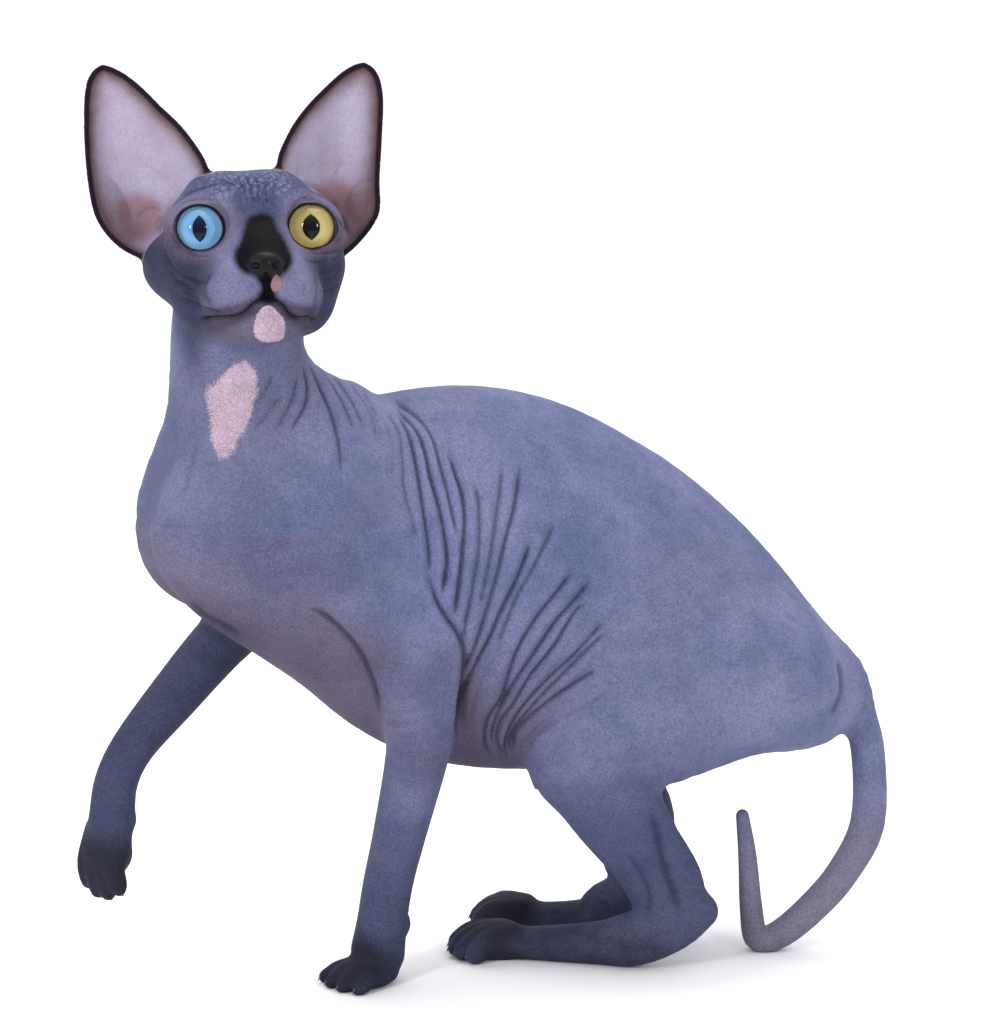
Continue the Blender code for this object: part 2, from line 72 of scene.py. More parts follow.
# Forms melt together within this share of their blend
MELT_REACH = 1.6

FACE = np.array((-101.3, -120.0, 345.4))
HEAD_YAW = math.radians(10)
HEAD_PITCH = math.radians(-14)
EYE_APART = 23.3
EYE_DEPTH = 6.5
EYE_RADIUS = 10.8
LEFT_OF_HIPS = (0.0, -1.0, 0.0)
LEFT_OF_CHEST = (0.77, -0.64, 0.0)

# The lens stands this way from the point it looks at, and the picture is this many points wide and high
CAMERA_TARGET = np.array((0.0, -20.0, 205.0))
CAMERA_RISE = math.radians(10.0)
CAMERA_DISTANCE = 1600.0
PICTURE = (1000, 1036)
FOCAL_POINTS = 3555.6
SENSOR = 36.0

Form = namedtuple("Form", "low high distance blend carves")
FORMS = []
TOE_TIPS = []


# Clay: distances to forms that melt together

def turn(yaw=0.0, pitch=0.0, roll=0.0):
    """Rows are the turned X, Y and Z directions."""
    turned = Matrix.Rotation(yaw, 3, "Z") @ Matrix.Rotation(pitch, 3, "X") @ Matrix.Rotation(roll, 3, "Y")
    return np.array(turned).T


HEAD_TURN = turn(HEAD_YAW, HEAD_PITCH)


def on_head(*place):
    """A place given from the midpoint of the eyes (right of the face's own view, back, up) in the figure."""
    return FACE + np.array(place) @ HEAD_TURN


def from_head(points):
    """The other way round: figure places as right, back and up from the midpoint of the eyes."""
    return (points - FACE) @ HEAD_TURN.T


def unit(rows):
    return rows / np.maximum(np.linalg.norm(rows, axis=-1)[..., None], 1e-9)


def melt(first, second, width):
    """The smaller of two distances, rounded over where they are nearly equal."""
    overlap = np.maximum(width - np.abs(first - second), 0.0)
    return np.minimum(first, second) - overlap * overlap / (4.0 * width)


def rounded(offsets, sizes):
    """Distance to an ellipsoid from offsets along its axes."""
    reach = np.sqrt(sum((offset / size) ** 2 for offset, size in zip(offsets, sizes)))
    slope = np.sqrt(sum((offset / size**2) ** 2 for offset, size in zip(offsets, sizes)))
    return reach * (reach - 1.0) / np.maximum(slope, 1e-6)


def ball(place, sizes, blend=8.0, axes=None, carves=False):
    """Adds or presses in an ellipsoid, its half sizes along the rows of axes."""
    place = np.array(place, np.float32)
    axes = np.eye(3, dtype=np.float32) if axes is None else np.array(axes, np.float32)
    sizes = np.array(sizes, np.float32)
    half = np.sqrt(((axes * sizes[:, None]) ** 2).sum(0))

    def distance(points):
        local = (points - place) @ axes.T
        return rounded(local.T, sizes)

    FORMS.append(Form(place - half, place + half, distance, blend, carves))


def smooth_path(stations, steps):
    """More stations along a smooth curve through the given ones."""
    given = np.array(stations, float)
    padded = np.vstack((2 * given[0] - given[1], given, 2 * given[-1] - given[-2]))
    found = []
    for before, start, end, after in zip(padded, padded[1:], padded[2:], padded[3:]):
        for step in range(steps):
            t = step / steps
            found.append(0.5 * (2 * start + (end - before) * t
                                + (2 * before - 5 * start + 4 * end - after) * t**2
                                + (3 * start - before - 3 * end + after) * t**3))
    return np.vstack((found, given[-1]))


def frames(places, sides):
    """The side and front directions at each place of a path, side as near as may be to the one asked for."""
    along = np.gradient(places, axis=0)
    along /= np.linalg.norm(along, axis=1)[:, None]
    share = np.linspace(0.0, 1.0, len(places))[:, None]
    wanted = (1 - share) * np.array(sides[0], float) + share * np.array(sides[-1], float)
    side = wanted - (wanted * along).sum(1)[:, None] * along
    side /= np.linalg.norm(side, axis=1)[:, None]
    return side, np.cross(along, side)


def limb(stations, sides=(LEFT_OF_HIPS,), blend=8.0, steps=4, carves=False):
    """Sweeps an oval through stations (x, y, z, half width, front, back); front is along x side."""
    path = smooth_path(stations, steps)
    side, front = frames(path[:, :3], sides)
    path, side, front = (values.astype(np.float32) for values in (path, side, front))
    half = path[:, 3:].max(1)[:, None]
    lows = np.minimum(path[:-1, :3] - half[:-1], path[1:, :3] - half[1:])
    highs = np.maximum(path[:-1, :3] + half[:-1], path[1:, :3] + half[1:])
    reach = MELT_REACH * blend + 2.5 * COARSE * VOXEL

    def piece(points, i):
        start, end = path[i], path[i + 1]
        axis = end[:3] - start[:3]
        share = np.clip((points - start[:3]) @ axis / (axis @ axis), 0.0, 1.0)
        offset = points - start[:3] - share[:, None] * axis
        across = (1 - share) * (offset @ side[i]) + share * (offset @ side[i + 1])
        ahead = (1 - share) * (offset @ front[i]) + share * (offset @ front[i + 1])
        beyond = offset @ (axis / np.linalg.norm(axis))
        wide, fore, aft = (start[3:, None] + share * (end - start)[3:, None])
        deep = np.where(ahead > 0, fore, aft)
        ended = ((share == 0) & (i == 0)) | ((share == 1) & (i == len(path) - 2))
        cap = np.where(ended, np.minimum(wide, deep), np.maximum(wide, deep))
        return rounded((across, ahead, beyond), (wide, deep, cap))

    def distance(points):
        found = np.full(len(points), FAR, np.float32)
        for i in range(len(path) - 1):
            near = np.flatnonzero(((points > lows[i] - reach) & (points < highs[i] + reach)).all(1))
            if len(near):
                found[near] = np.minimum(found[near], piece(points[near], i))
        return found

    FORMS.append(Form(lows.min(0), highs.max(0), distance, blend, carves))


def field(points, margin):
    """Distance from each point to the figure's skin, negative inside, true only within the margin."""
    found = np.full(len(points), FAR, np.float32)
    for form in FORMS:
        reach = MELT_REACH * form.blend + margin
        near = np.flatnonzero(((points > form.low - reach) & (points < form.high + reach)).all(1))
        if not len(near):
            continue
        own = form.distance(points[near])
        if form.carves:
            found[near] = -melt(-found[near], own, form.blend)
        else:
            found[near] = melt(found[near], own, form.blend)
    return found


# The cat's forms

TRUNK = [(143, 1, 114, 15, 20, 8), (126, 0, 122, 36, 36, 22), (100, 0, 142, 48, 45, 50),
         (68, -2, 160, 54, 58, 72), (28, -10, 172, 54, 74, 84), (-11, -24, 180, 51, 84.5, 86),
         (-46, -43, 190, 46, 74.5, 70), (-76, -60, 200, 42, 56, 56), (-101, -74, 208, 36, 46, 47),
         (-119, -86, 212, 24, 32, 35)]


def body_forms():
    """Trunk from the rump to the front of the chest, bent to the left, then nape and neck."""
    limb(TRUNK, (LEFT_OF_HIPS, LEFT_OF_CHEST), blend=1.0, steps=6)
    limb([(-84, -58, 196, 38, 40, 40), (-96, -63, 226, 41, 40, 40), (-107, -66, 252, 37, 35, 36),
          (-113, -74, 283, 29.5, 29, 29), (-111, -82, 310, 28, 30, 27), (-104, -88, 328, 27, 28, 26)],
         (LEFT_OF_CHEST, (0.98, -0.17, 0.0)), blend=20.0)
    ball((-80, -60, 262), (22, 20, 12), 14.0)


def head_form(x, y, z, sizes, blend, pair=False, carves=False):
    for side in (-1, 1) if pair else (1,):
        ball(on_head(side * x, y, z), sizes, blend, HEAD_TURN, carves)


def head_forms():
    """Skull, brow, bridge, cheeks, muzzle, nose and chin, then lids, mouth and nostrils."""
    head_form(0, 30, 1, (29, 35, 25), 10)
    head_form(0, 8, 7, (24, 18, 16), 10)
    head_form(26, 25, -13, (13, 22, 16), 12, pair=True)
    head_form(-33, 32, -11, (12, 20, 12), 9)
    head_form(-15, 27, 15, (12, 13, 10.5), 13)
    head_form(12, 27, 15, (12, 13, 10.5), 13)
    head_form(20, 9, -15, (15, 16, 13), 10, pair=True)
    head_form(17.5, 16, -31, (15, 20, 13), 10, pair=True)
    head_form(0, 4, -37, (20, 22, 12), 8)
    head_form(0, -6, -29, (21, 16, 13), 9)
    head_form(10.5, -9, -19, (9.5, 9.5, 9.5), 9, pair=True)
    head_form(12, -13, -30.5, (12.5, 11.5, 9.5), 8, pair=True)
    head_form(0, -12.5, -43.5, (11, 11, 7.5), 6)
    bridge = [(0, 4, 5, 14, 9, 10), (0, -7, -3, 12, 7, 9), (0, -18, -11.5, 10.5, 6.5, 8),
              (0, -24.5, -17, 8, 5, 7)]
    limb([(*on_head(*row[:3]), *row[3:]) for row in bridge], (HEAD_TURN[0],), blend=7.0)
    head_form(0, -27.5, -19.8, (7.5, 4.8, 5.2), 2.5)
    head_form(24, 22, 4, (10.5, 11, 13), 5, pair=True)
    head_form(22.5, EYE_DEPTH + 3, 0, (15.5, 13.5, 14.5), 4, pair=True)
    head_form(EYE_APART, EYE_DEPTH, 0, (12.2, 12.2, 12.2), 2.5, pair=True)
    head_form(23.6, -6, 0, (12.4, 9.5, 11.3), 1, pair=True, carves=True)
    head_form(EYE_APART, EYE_DEPTH, 0, (11.0, 11.0, 11.0), 0.4, pair=True, carves=True)
    head_form(4.6, -32.3, -20.6, (2.1, 3.0, 1.7), 0.8, pair=True, carves=True)


def foreleg_forms():
    """The left foreleg stands; the right one is raised with its paw hanging."""
    limb([(-50, -68, 242, 12, 18, 20), (-66, -84, 228, 15, 21, 25), (-78, -96, 208, 17, 21, 26),
          (-58, -88, 184, 16, 22, 26), (-40, -74, 160, 16, 20, 21)], (LEFT_OF_CHEST,), blend=14.0)
    limb([(-38, -74, 164, 15, 19, 19), (-38, -71, 144, 16, 20, 20), (-35, -67, 122, 15, 17, 17),
          (-37, -63, 104, 13.5, 14.5, 14.5), (-45, -59, 68, 11.5, 12.3, 12.3), (-50, -56, 46, 11, 11.5, 11.5),
          (-53, -55, 27, 11.5, 11, 11), (-55, -53, 13, 13, 11, 11)], (LEFT_OF_CHEST,), blend=7.0)
    limb([(-106, -34, 248, 12, 18, 20), (-127, -44, 236, 16, 23, 24), (-142, -51, 212, 17, 18, 22),
          (-127, -37, 186, 15, 18, 22), (-108, -22, 168, 13, 13, 15)], (LEFT_OF_CHEST,), blend=24.0)
    limb([(-104, -20, 169, 13.5, 14, 14), (-125, -38, 152, 12.5, 13, 13), (-145, -58, 131, 11, 11.5, 11.5),
          (-161, -75, 113, 9.6, 9.6, 9.6), (-168, -82, 99, 9.5, 9.5, 9.5), (-170, -85, 84, 10.5, 9.5, 9.5),
          (-172, -87, 70, 11, 8.5, 9)], (LEFT_OF_CHEST,), blend=8.0)
    ball((-157, -79, 114), (4, 4, 4), 4.0)
    ball((-162.5, -84.5, 82), (2.6, 2.6, 3.6), 3.0)
    ball((-43.5, -51, 25), (3.2, 3.2, 4.5), 3.5)
    ball((-135, -56, 197), (17, 18, 17), 20.0)


def paw(place, turned, toe_length, spread, high, blend=2.5):
    """Four toes in a fan, each from the ball of the foot over a knuckle to its tip, noted for the claw."""
    for offset, shorter in ((-1.0, 3.0), (-0.34, 0.0), (0.34, 0.0), (1.0, 3.0)):
        aside = offset * spread
        reach = toe_length - shorter
        row = [(0.55 * aside, 5, 0.55 * high, 5, 0.4 * high, 0.43 * high),
               (0.9 * aside, -0.45 * reach, 0.58 * high, 4.4, 0.36 * high, 0.42 * high),
               (1.02 * aside, -0.85 * reach, 0.34 * high, 4.2, 0.33 * high, 0.36 * high),
               (1.05 * aside, -reach, 0.24 * high, 3.2, 3.2, 3.4)]
        places = [np.array(place) + np.array(at[:3]) @ turned for at in row]
        limb([(*at, *sizes[3:]) for at, sizes in zip(places, row)], (turned[0],), blend, steps=3)
        TOE_TIPS.append((places[-1], places[-1] - places[-2]))


def foot_forms():
    """Paws turned the way each foot points; the raised one hangs with its toes down."""
    for place, sizes in (((-61, -59, 4), (14, 13, 6)), ((-3, -15, 6), (15, 12.5, 8.5)),
                         ((4, 35, 5), (14.5, 12.5, 8)), ((-172, -84, 66), (10, 8.5, 10))):
        ball(place, sizes, 5.0)
    paw((-59, -57, 0), turn(math.radians(-50)), 18, 11.5, 9.5)
    paw((-1, -14, 0), turn(math.radians(-68)), 20, 10.5, 15.0)
    paw((6, 34, 0), turn(math.radians(-104)), 17, 10, 14.0)
    paw((-170, -81, 71), turn(math.radians(-40), math.radians(80)), 22, 9, 12.0)


def hindleg_forms():
    """Both hind legs are folded, with the soles flat on the floor."""
    for side, knee, ankle, heel, ball_of_foot, thin in (
            (-1, (32, -46), (79, -38), (91, -38), (-3, -15), 0),
            (1, (30, 42), (69, 22), (79, 19), (4, 34), 2.5)):
        left = LEFT_OF_HIPS
        limb([(124, side * 24, 130, 24, 30, 24), (98, side * 33, 127, 26, 40, 31),
              (64, side * 41, 112, 25, 34, 27), (*knee, 95, 17, 17, 15)], (left,), blend=14.0)
        limb([(knee[0], knee[1], 93, 17, 15, 22 - 2 * thin),
              (knee[0] + 17, knee[1] * 0.97, 74, 15, 17, 24 - 2 * thin),
              (knee[0] + 32, knee[1] * 0.9, 56, 12, 17, 19), (ankle[0] - 5, ankle[1], 40, 10, 17, 18),
              (*ankle, 27, 9.5, 16, 15)], (left,), blend=8.0)
        middle = [a + 0.42 * (b - a) for a, b in zip(ankle, ball_of_foot)]
        limb([(*heel, 27, 8, 8, 8), (*ankle, 20, 10, 12, 11),
              (ankle[0] - 17, ankle[1] + 3, 13 - thin, 11, 13, 12), (*middle, 10 - thin, 11, 9 - thin, 10),
              (ball_of_foot[0] + 16, ball_of_foot[1] - 4, 7.5 - thin, 11.5, 6, 8),
              (*ball_of_foot, 7 - thin / 2, 12.5, 6, 7.5)], (left,), blend=5.0)


def tail_forms():
    limb([(136, 2, 132, 17, 16, 19), (155, 3, 125, 12, 12, 14), (165, 3, 108, 8.8, 8.2, 8.8),
          (170, 2, 90, 7.9, 7.8, 7.8), (170, 0, 58, 7.8, 8, 8), (159, -3, 36, 7.5, 7.5, 7.5),
          (146, -6, 21, 7.2, 7.2, 7.2), (130, -8, 7.6, 6.8, 6.6, 6.6), (119, -9, 5.6, 5.8, 5.8, 5.8),
          (116, -9, 20, 5.3, 5.3, 5.3), (114, -9, 45, 4.3, 4.3, 4.3), (111.5, -9, 64, 3.1, 3.1, 3.1)],
         (LEFT_OF_HIPS,), blend=8.0)


EARS = {
    "ear_right": (
        [(-15, 20, 19), (-18, 17, 28), (-21, 18, 35), (-28, 21, 46), (-36, 24, 55), (-43.5, 26, 63.5),
         (-50, 27.5, 69.4), (-55.3, 28.8, 72.7), (-58.8, 29.3, 74)],
        [(-40, 31, -10), (-54, 34, -2), (-63, 35, 10), (-66, 35, 25), (-67, 34, 42), (-66.8, 32, 57),
         (-65.6, 31, 66.5), (-63, 30.4, 71.6), (-59.6, 29.5, 74)]),
    "ear_left": (
        [(10, 20, 19), (12, 17, 28), (14, 18, 35), (20, 21, 46), (27, 24, 55), (35, 26, 63),
         (42, 27.7, 69.3), (47.6, 28.8, 72.8), (51.6, 29.3, 74.1)],
        [(34, 31, -12), (46, 34, -3), (56, 35, 10), (57, 35, 25), (58.5, 34, 42), (59.5, 32, 58),
         (58.5, 31, 67), (56, 30.4, 71.8), (52.4, 29.5, 74.1)])}
EAR_CUPS = (15, 20, 20, 16, 11, 6.5, 3.5, 1.5, 0.3)
EAR_THICKNESS = 1.8
EAR_COLUMNS = 25
EAR_STEPS = 6


def ear_sheet(name):
    """The middle surface of an ear, as rows from its root to its tip."""
    inner, outer = (smooth_path(edge, EAR_STEPS) for edge in EARS[name])
    cups = smooth_path([(cup, 0.0) for cup in EAR_CUPS], EAR_STEPS)[:, 0]
    share = np.linspace(0.0, 1.0, EAR_COLUMNS)
    across = inner[:, None] * (1 - share)[None, :, None] + outer[:, None] * share[None, :, None]
    across[..., 1] += cups[:, None] * (4 * share * (1 - share))[None] + EAR_THICKNESS / 2
    return FACE + across @ HEAD_TURN


class Sheet:
    """A thin curved sheet of clay, thick in its middle and thinner toward the rim."""

    def __init__(self, rows, thickness):
        high, wide = rows.shape[:2]
        number = np.arange(high * wide).reshape(high, wide)
        quads = np.stack((number[:-1, :-1], number[:-1, 1:], number[1:, 1:], number[1:, :-1]), -1)
        self.places = rows.reshape(-1, 3)
        self.edge = smooth_path(np.vstack((rows[::2, 0], rows[-1, ::4], rows[::-2, -1])), 4)
        self.tree = BVHTree.FromPolygons([tuple(at) for at in self.places], quads.reshape(-1, 4).tolist())
        share = (np.arange(wide - 1) + 0.5) / (wide - 1)
        tip = (high - 1 - np.arange(high - 1)) / 8.0
        rim = np.minimum(np.minimum(share, 1 - share)[None] * 6, tip[:, None])
        self.half = (thickness / 2 * (0.8 + 0.2 * np.clip(rim, 0, 1))).reshape(-1)

    def nearest(self, points, most):
        """Distance, face and side of each point; FAR and face -1 where none is near."""
        apart = np.full(len(points), FAR, np.float32)
        face = np.full(len(points), -1)
        side = np.zeros(len(points), np.float32)
        find = self.tree.find_nearest
        for i, point in enumerate(points.tolist()):
            at, normal, number, distance = find(point, most)
            if number is not None:
                apart[i], face[i] = distance, number
                side[i] = normal.dot(Vector(point) - at)
        return apart, face, side

    def distance(self, points):
        apart, face, _ = self.nearest(points, 14.0)
        found = face >= 0
        apart[found] -= self.half[face[found]]
        return apart


SHEETS = {}


def ear_forms():
    for name in EARS:
        rows = ear_sheet(name)
        sheet = Sheet(rows, EAR_THICKNESS)
        SHEETS[name] = sheet
        edge = EAR_THICKNESS
        FORMS.append(Form(sheet.places.min(0) - edge, sheet.places.max(0) + edge, sheet.distance, 3.0, False))


def shape_figure():
    body_forms()
    foreleg_forms()
    hindleg_forms()
    foot_forms()
    tail_forms()
    head_forms()
    ear_forms()


# From clay to a fine mesh

def skin_mesh(voxel):
    """Vertices and quads of the skin: a coarse look finds where it runs, a fine one draws it."""
    cell = COARSE * voxel
    low = np.min([form.low for form in FORMS], axis=0) - 2 * cell
    high = np.max([form.high for form in FORMS], axis=0) + 2 * cell
    counts = np.ceil((high - low) / cell).astype(int)
    ticks = [low[i] + cell * (np.arange(counts[i]) + 0.5) for i in range(3)]
    centres = np.stack(np.meshgrid(*ticks, indexing="ij"), -1).reshape(-1, 3).astype(np.float32)
    rough = field(centres, 1.6 * cell)
    near = np.flatnonzero(np.abs(rough) < 1.3 * cell)
    spread = np.where(rough > 0, 3 * voxel, -3 * voxel).astype(np.float32).reshape(counts)
    grid = np.repeat(np.repeat(np.repeat(spread, COARSE, 0), COARSE, 1), COARSE, 2)
    steps = (np.arange(COARSE) + 0.5) * voxel - cell / 2
    inner = np.stack(np.meshgrid(steps, steps, steps, indexing="ij"), -1).reshape(-1, 3).astype(np.float32)
    fine = field((centres[near, None] + inner[None]).reshape(-1, 3), 4 * voxel)
    corner = np.stack(np.unravel_index(near, counts), -1) * COARSE
    offsets = np.stack(np.unravel_index(np.arange(COARSE**3), (COARSE,) * 3), -1)
    i, j, k = (corner[:, None] + offsets[None]).reshape(-1, 3).T
    grid[i, j, k] = np.clip(fine, -3 * voxel, 3 * voxel)
    volume = openvdb.FloatGrid(3 * voxel)
    volume.copyFromArray(grid)
    places, quads = volume.convertToQuads(0.0)
    return low + voxel / 2 + places * voxel, quads


def read_places(mesh):
    flat = np.empty(len(mesh.vertices) * 3, np.float32)
    mesh.vertices.foreach_get("co", flat)
    return flat.reshape(-1, 3).astype(float)


def write_places(mesh, places):
    mesh.vertices.foreach_set("co", np.asarray(places, np.float32).reshape(-1))
    mesh.update()


def read_normals(mesh):
    flat = np.empty(len(mesh.vertices) * 3, np.float32)
    mesh.vertex_normals.foreach_get("vector", flat)
    return flat.reshape(-1, 3).astype(float)


def settle(points, times=2, step=0.25):
    """Moves points straight onto the clay's surface."""
    corners = np.array(((1, 1, 1), (1, -1, -1), (-1, 1, -1), (-1, -1, 1)), float)
    for _ in range(times):
        readings = [field((points + step * corner).astype(np.float32), 3.0).astype(float) for corner in corners]
        slope = sum(reading[:, None] * corner for reading, corner in zip(readings, corners)) / (4 * step)
        size = np.maximum((slope**2).sum(1), 0.25)
        points = points - np.clip(sum(readings) / 4 / size, -0.6, 0.6)[:, None] * slope
    return points


def refine(mesh, chosen):
    """Splits each chosen face into four."""
    form = bmesh.new()
    form.from_mesh(mesh)
    form.verts.ensure_lookup_table()
    marked = chosen(read_places(mesh))
    edges = [edge for edge in form.edges if marked[edge.verts[0].index] and marked[edge.verts[1].index]]
    bmesh.ops.subdivide_edges(form, edges=edges, cuts=1, use_grid_fill=True)
    form.to_mesh(mesh)
    form.free()


def to_row(places):
    """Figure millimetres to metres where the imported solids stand."""
    return np.asarray(places) * MM + PLACE


def new_piece(name, mesh, finish):
    item = bpy.data.objects.new(name, mesh)
    bpy.context.scene.collection.objects.link(item)
    mesh.materials.clear()
    mesh.materials.append(finish)
    return item


def new_mesh(name, places, faces):
    mesh = bpy.data.meshes.new(name)
    mesh.from_pydata([tuple(at) for at in to_row(places)], [], [tuple(face) for face in faces])
    mesh.shade_smooth()
    return mesh


# Drawing on the hide: fold lines and markings are laid out as the lens sees them, then pressed into the form

RISE = (0.0, -math.cos(CAMERA_RISE), math.sin(CAMERA_RISE))
CAMERA_BACK = np.array(RISE)
CAMERA_UP = np.cross((1.0, 0.0, 0.0), -CAMERA_BACK)
CAMERA_PLACE = CAMERA_TARGET + CAMERA_BACK * CAMERA_DISTANCE


def as_seen(places):
    """Picture points, right and down, of figure places."""
    apart = places - CAMERA_PLACE
    scale = FOCAL_POINTS / (apart @ -CAMERA_BACK)
    return np.stack((PICTURE[0] / 2 + apart[:, 0] * scale, PICTURE[1] / 2 - apart @ CAMERA_UP * scale), -1)


def mirrored(places):
    """The places on the other flank, over the bent line of the back."""
    line = smooth_path([row[:2] for row in TRUNK], 6)
    line = np.vstack((line[0] + (line[0] - line[1]) * 20, line, line[-1] + (line[-1] - line[-2]) * 20))
    best = np.full(len(places), np.inf)
    foot = np.zeros((len(places), 2))
    for start, end in zip(line, line[1:]):
        run = end - start
        share = np.clip((places[:, :2] - start) @ run / (run @ run), 0, 1)
        at = start + share[:, None] * run
        apart = ((places[:, :2] - at) ** 2).sum(1)
        nearer = apart < best
        best[nearer], foot[nearer] = apart[nearer], at[nearer]
    other = places.copy()
    other[:, :2] = 2 * foot - places[:, :2]
    return other


def line_distance(flat, path):
    """Distance of flat places from a line, and how far along it they lie (0 to 1)."""
    apart = np.full(len(flat), np.inf)
    share = np.zeros(len(flat))
    lengths = np.linalg.norm(np.diff(path, axis=0), axis=1)
    whole = lengths.sum()
    done = 0.0
    for start, end, length in zip(path, path[1:], lengths):
        run = (end - start) / max(length, 1e-9)
        t = np.clip((flat - start) @ run, 0, length)
        gap = np.linalg.norm(flat - start - t[:, None] * run, axis=1)
        nearer = gap < apart
        apart[nearer] = gap[nearer]
        share[nearer] = ((done + t) / whole)[nearer]
        done += length
    return apart, share


def ease(values, low, high):
    t = np.clip((values - low) / (high - low), 0.0, 1.0)
    return t * t * (3 - 2 * t)


def outline_distance(flat, corners):
    """Signed distance of flat places to a closed outline, negative inside."""
    corners = smooth_path(list(corners) + [corners[0]], 4)
    inside = np.zeros(len(flat), bool)
    for (x0, y0), (x1, y1) in zip(corners, corners[1:]):
        crosses = (y0 > flat[:, 1]) != (y1 > flat[:, 1])
        with np.errstate(divide="ignore", invalid="ignore"):
            cut_at = (x1 - x0) * (flat[:, 1] - y0) / (y1 - y0) + x0
        inside ^= crosses & (flat[:, 0] < cut_at)
    apart, _ = line_distance(flat, corners)
    return np.where(inside, -apart, apart)


# Millimetres to a picture point at the body, and the depth of fold that takes the full painted shade
POINT = 0.45
DEEPEST = 1.7
# A fold reaches this many of its widths, and swells at this many with this spread
FOLD_REACH = 5.5
SWELL_AT = 2.6
SWELL_SPREAD = 1.3


class Hide:
    """The skin's places and directions, with the depth of every fold, the painted shade along it, and the
    strength of every marking.
    """

    def __init__(self, places, normals):
        self.places, self.normals = places, normals
        self.press = np.zeros(len(places))
        self.fold = np.zeros(len(places))
        self.marks = {}
        self.seen = as_seen(places)
        facing = (normals * unit(CAMERA_PLACE - places)).sum(1)
        self.front = ease(facing, 0.02, 0.25)

    def crease(self, path, depth, width, seen=None, front=None, shoulder=0.35, shade_share=1.0, start=0.2, end=0.25):
        """A groove along a line of picture points, deepest along its middle, with a soft swelling each side and
        painted shade in its middle.
        """
        seen = self.seen if seen is None else seen
        front = self.front if front is None else front
        path = smooth_path(path, 4)
        reach = FOLD_REACH * width / POINT
        around = ((seen > path.min(0) - reach) & (seen < path.max(0) + reach)).all(1)
        near = np.flatnonzero(around & (front > 0))
        if not len(near):
            return
        apart, share = line_distance(seen[near], path)
        apart *= POINT / width
        fade = ease(share, 0.0, start) * ease(1 - share, 0.0, end) * front[near]
        groove = np.exp(0.38 - 1.1 * np.sqrt(apart**2 + 0.12))
        swell = np.exp(-(((apart - SWELL_AT) / SWELL_SPREAD) ** 2))
        self.press[near] += depth * fade * (shoulder * swell - groove)
        # painted shade along the groove's middle, stronger for deeper folds
        self.fold[near] = np.maximum(self.fold[near], min(1.0, depth / DEEPEST * shade_share) * fade
                                     * np.exp(-((1.35 * apart) ** 2)))

    def patch(self, name, corners, soft=1.0, seen=None, front=None):
        """Strength of a marking inside an outline of picture points, half at its edge, softened in mm."""
        seen = self.seen if seen is None else seen
        front = self.front if front is None else front
        corners = np.array(corners, float)
        reach = 6 * soft / POINT
        near = np.flatnonzero(((seen > corners.min(0) - reach) & (seen < corners.max(0) + reach)).all(1))
        strength = 0.5 - outline_distance(seen[near], corners) * POINT / (4 * soft)
        mark = self.marks.setdefault(name, np.zeros(len(self.places)))
        mark[near] = np.maximum(mark[near], np.clip(strength, 0, 1) * (front[near] > 0))

    def mark(self, name, strength):
        mark = self.marks.setdefault(name, np.zeros(len(self.places)))
        np.maximum(mark, np.clip(strength, 0, 1), out=mark)


# Folds of the flank, nape and chest: a line of picture points, its depth and its width in mm
FLANK_FOLDS = (
    ([(379, 409), (390, 438), (394, 459), (392, 485)], 0.5, 1.5), ([(386, 408), (399, 433), (403, 459),
    (405, 488), (412, 516), (418, 543)], 0.9, 1.4), ([(395, 410), (409, 433), (416, 459), (421, 488),
    (426, 522), (430, 548), (431, 579)], 1.8, 1.3), ([(392, 402), (416, 427), (426, 451), (431, 475),
    (441, 511), (447, 543), (448, 569), (440, 605)], 2.4, 1.3), ([(390, 396), (418, 417), (433, 438),
    (441, 467), (447, 488), (455, 524), (458, 543)], 1.4, 1.4), ([(449, 450), (457, 475), (463, 493),
    (466, 522), (463, 558), (458, 600), (453, 624)], 2.4, 1.3), ([(474, 478), (479, 500), (480, 516),
    (479, 553), (471, 600), (465, 631), (462, 655)], 1.2, 1.6), ([(503, 462), (501, 490), (498, 510),
    (494, 537), (486, 579), (478, 612)], 1.2, 1.8), ([(522, 460), (518, 490), (514, 512), (507, 537),
    (497, 579), (481, 631), (465, 672), (461, 690)], 1.6, 1.5), ([(534, 535), (528, 553), (518, 579),
    (502, 611), (489, 642), (473, 673), (463, 699), (458, 735)], 2.6, 1.4), ([(556, 520), (549, 537),
    (533, 569), (518, 595), (507, 621), (496, 650)], 1.2, 1.7), ([(578, 566), (562, 587), (539, 616),
    (520, 647), (510, 673), (502, 699), (489, 718), (485, 736), (487, 750), (498, 764)], 2.0, 1.3),
    ([(596, 575), (580, 595), (557, 621), (536, 652), (518, 678), (507, 697), (497, 718), (492, 736),
    (495, 756)], 2.0, 1.3), ([(592, 598), (575, 613), (554, 647), (533, 673), (515, 702), (502, 720),
    (497, 741), (507, 762)], 1.8, 1.2), ([(610, 620), (601, 626), (575, 655), (549, 679), (523, 707),
    (510, 728), (505, 746), (510, 765)], 1.8, 1.2), ([(612, 630), (596, 642), (570, 668), (539, 699),
    (518, 726), (510, 744), (515, 762)], 1.6, 1.2), ([(600, 668), (575, 684), (549, 702), (528, 720),
    (515, 736), (514, 756)], 1.4, 1.4), ([(612, 690), (585, 706), (556, 722), (534, 740), (524, 760)],
    0.7, 1.8))
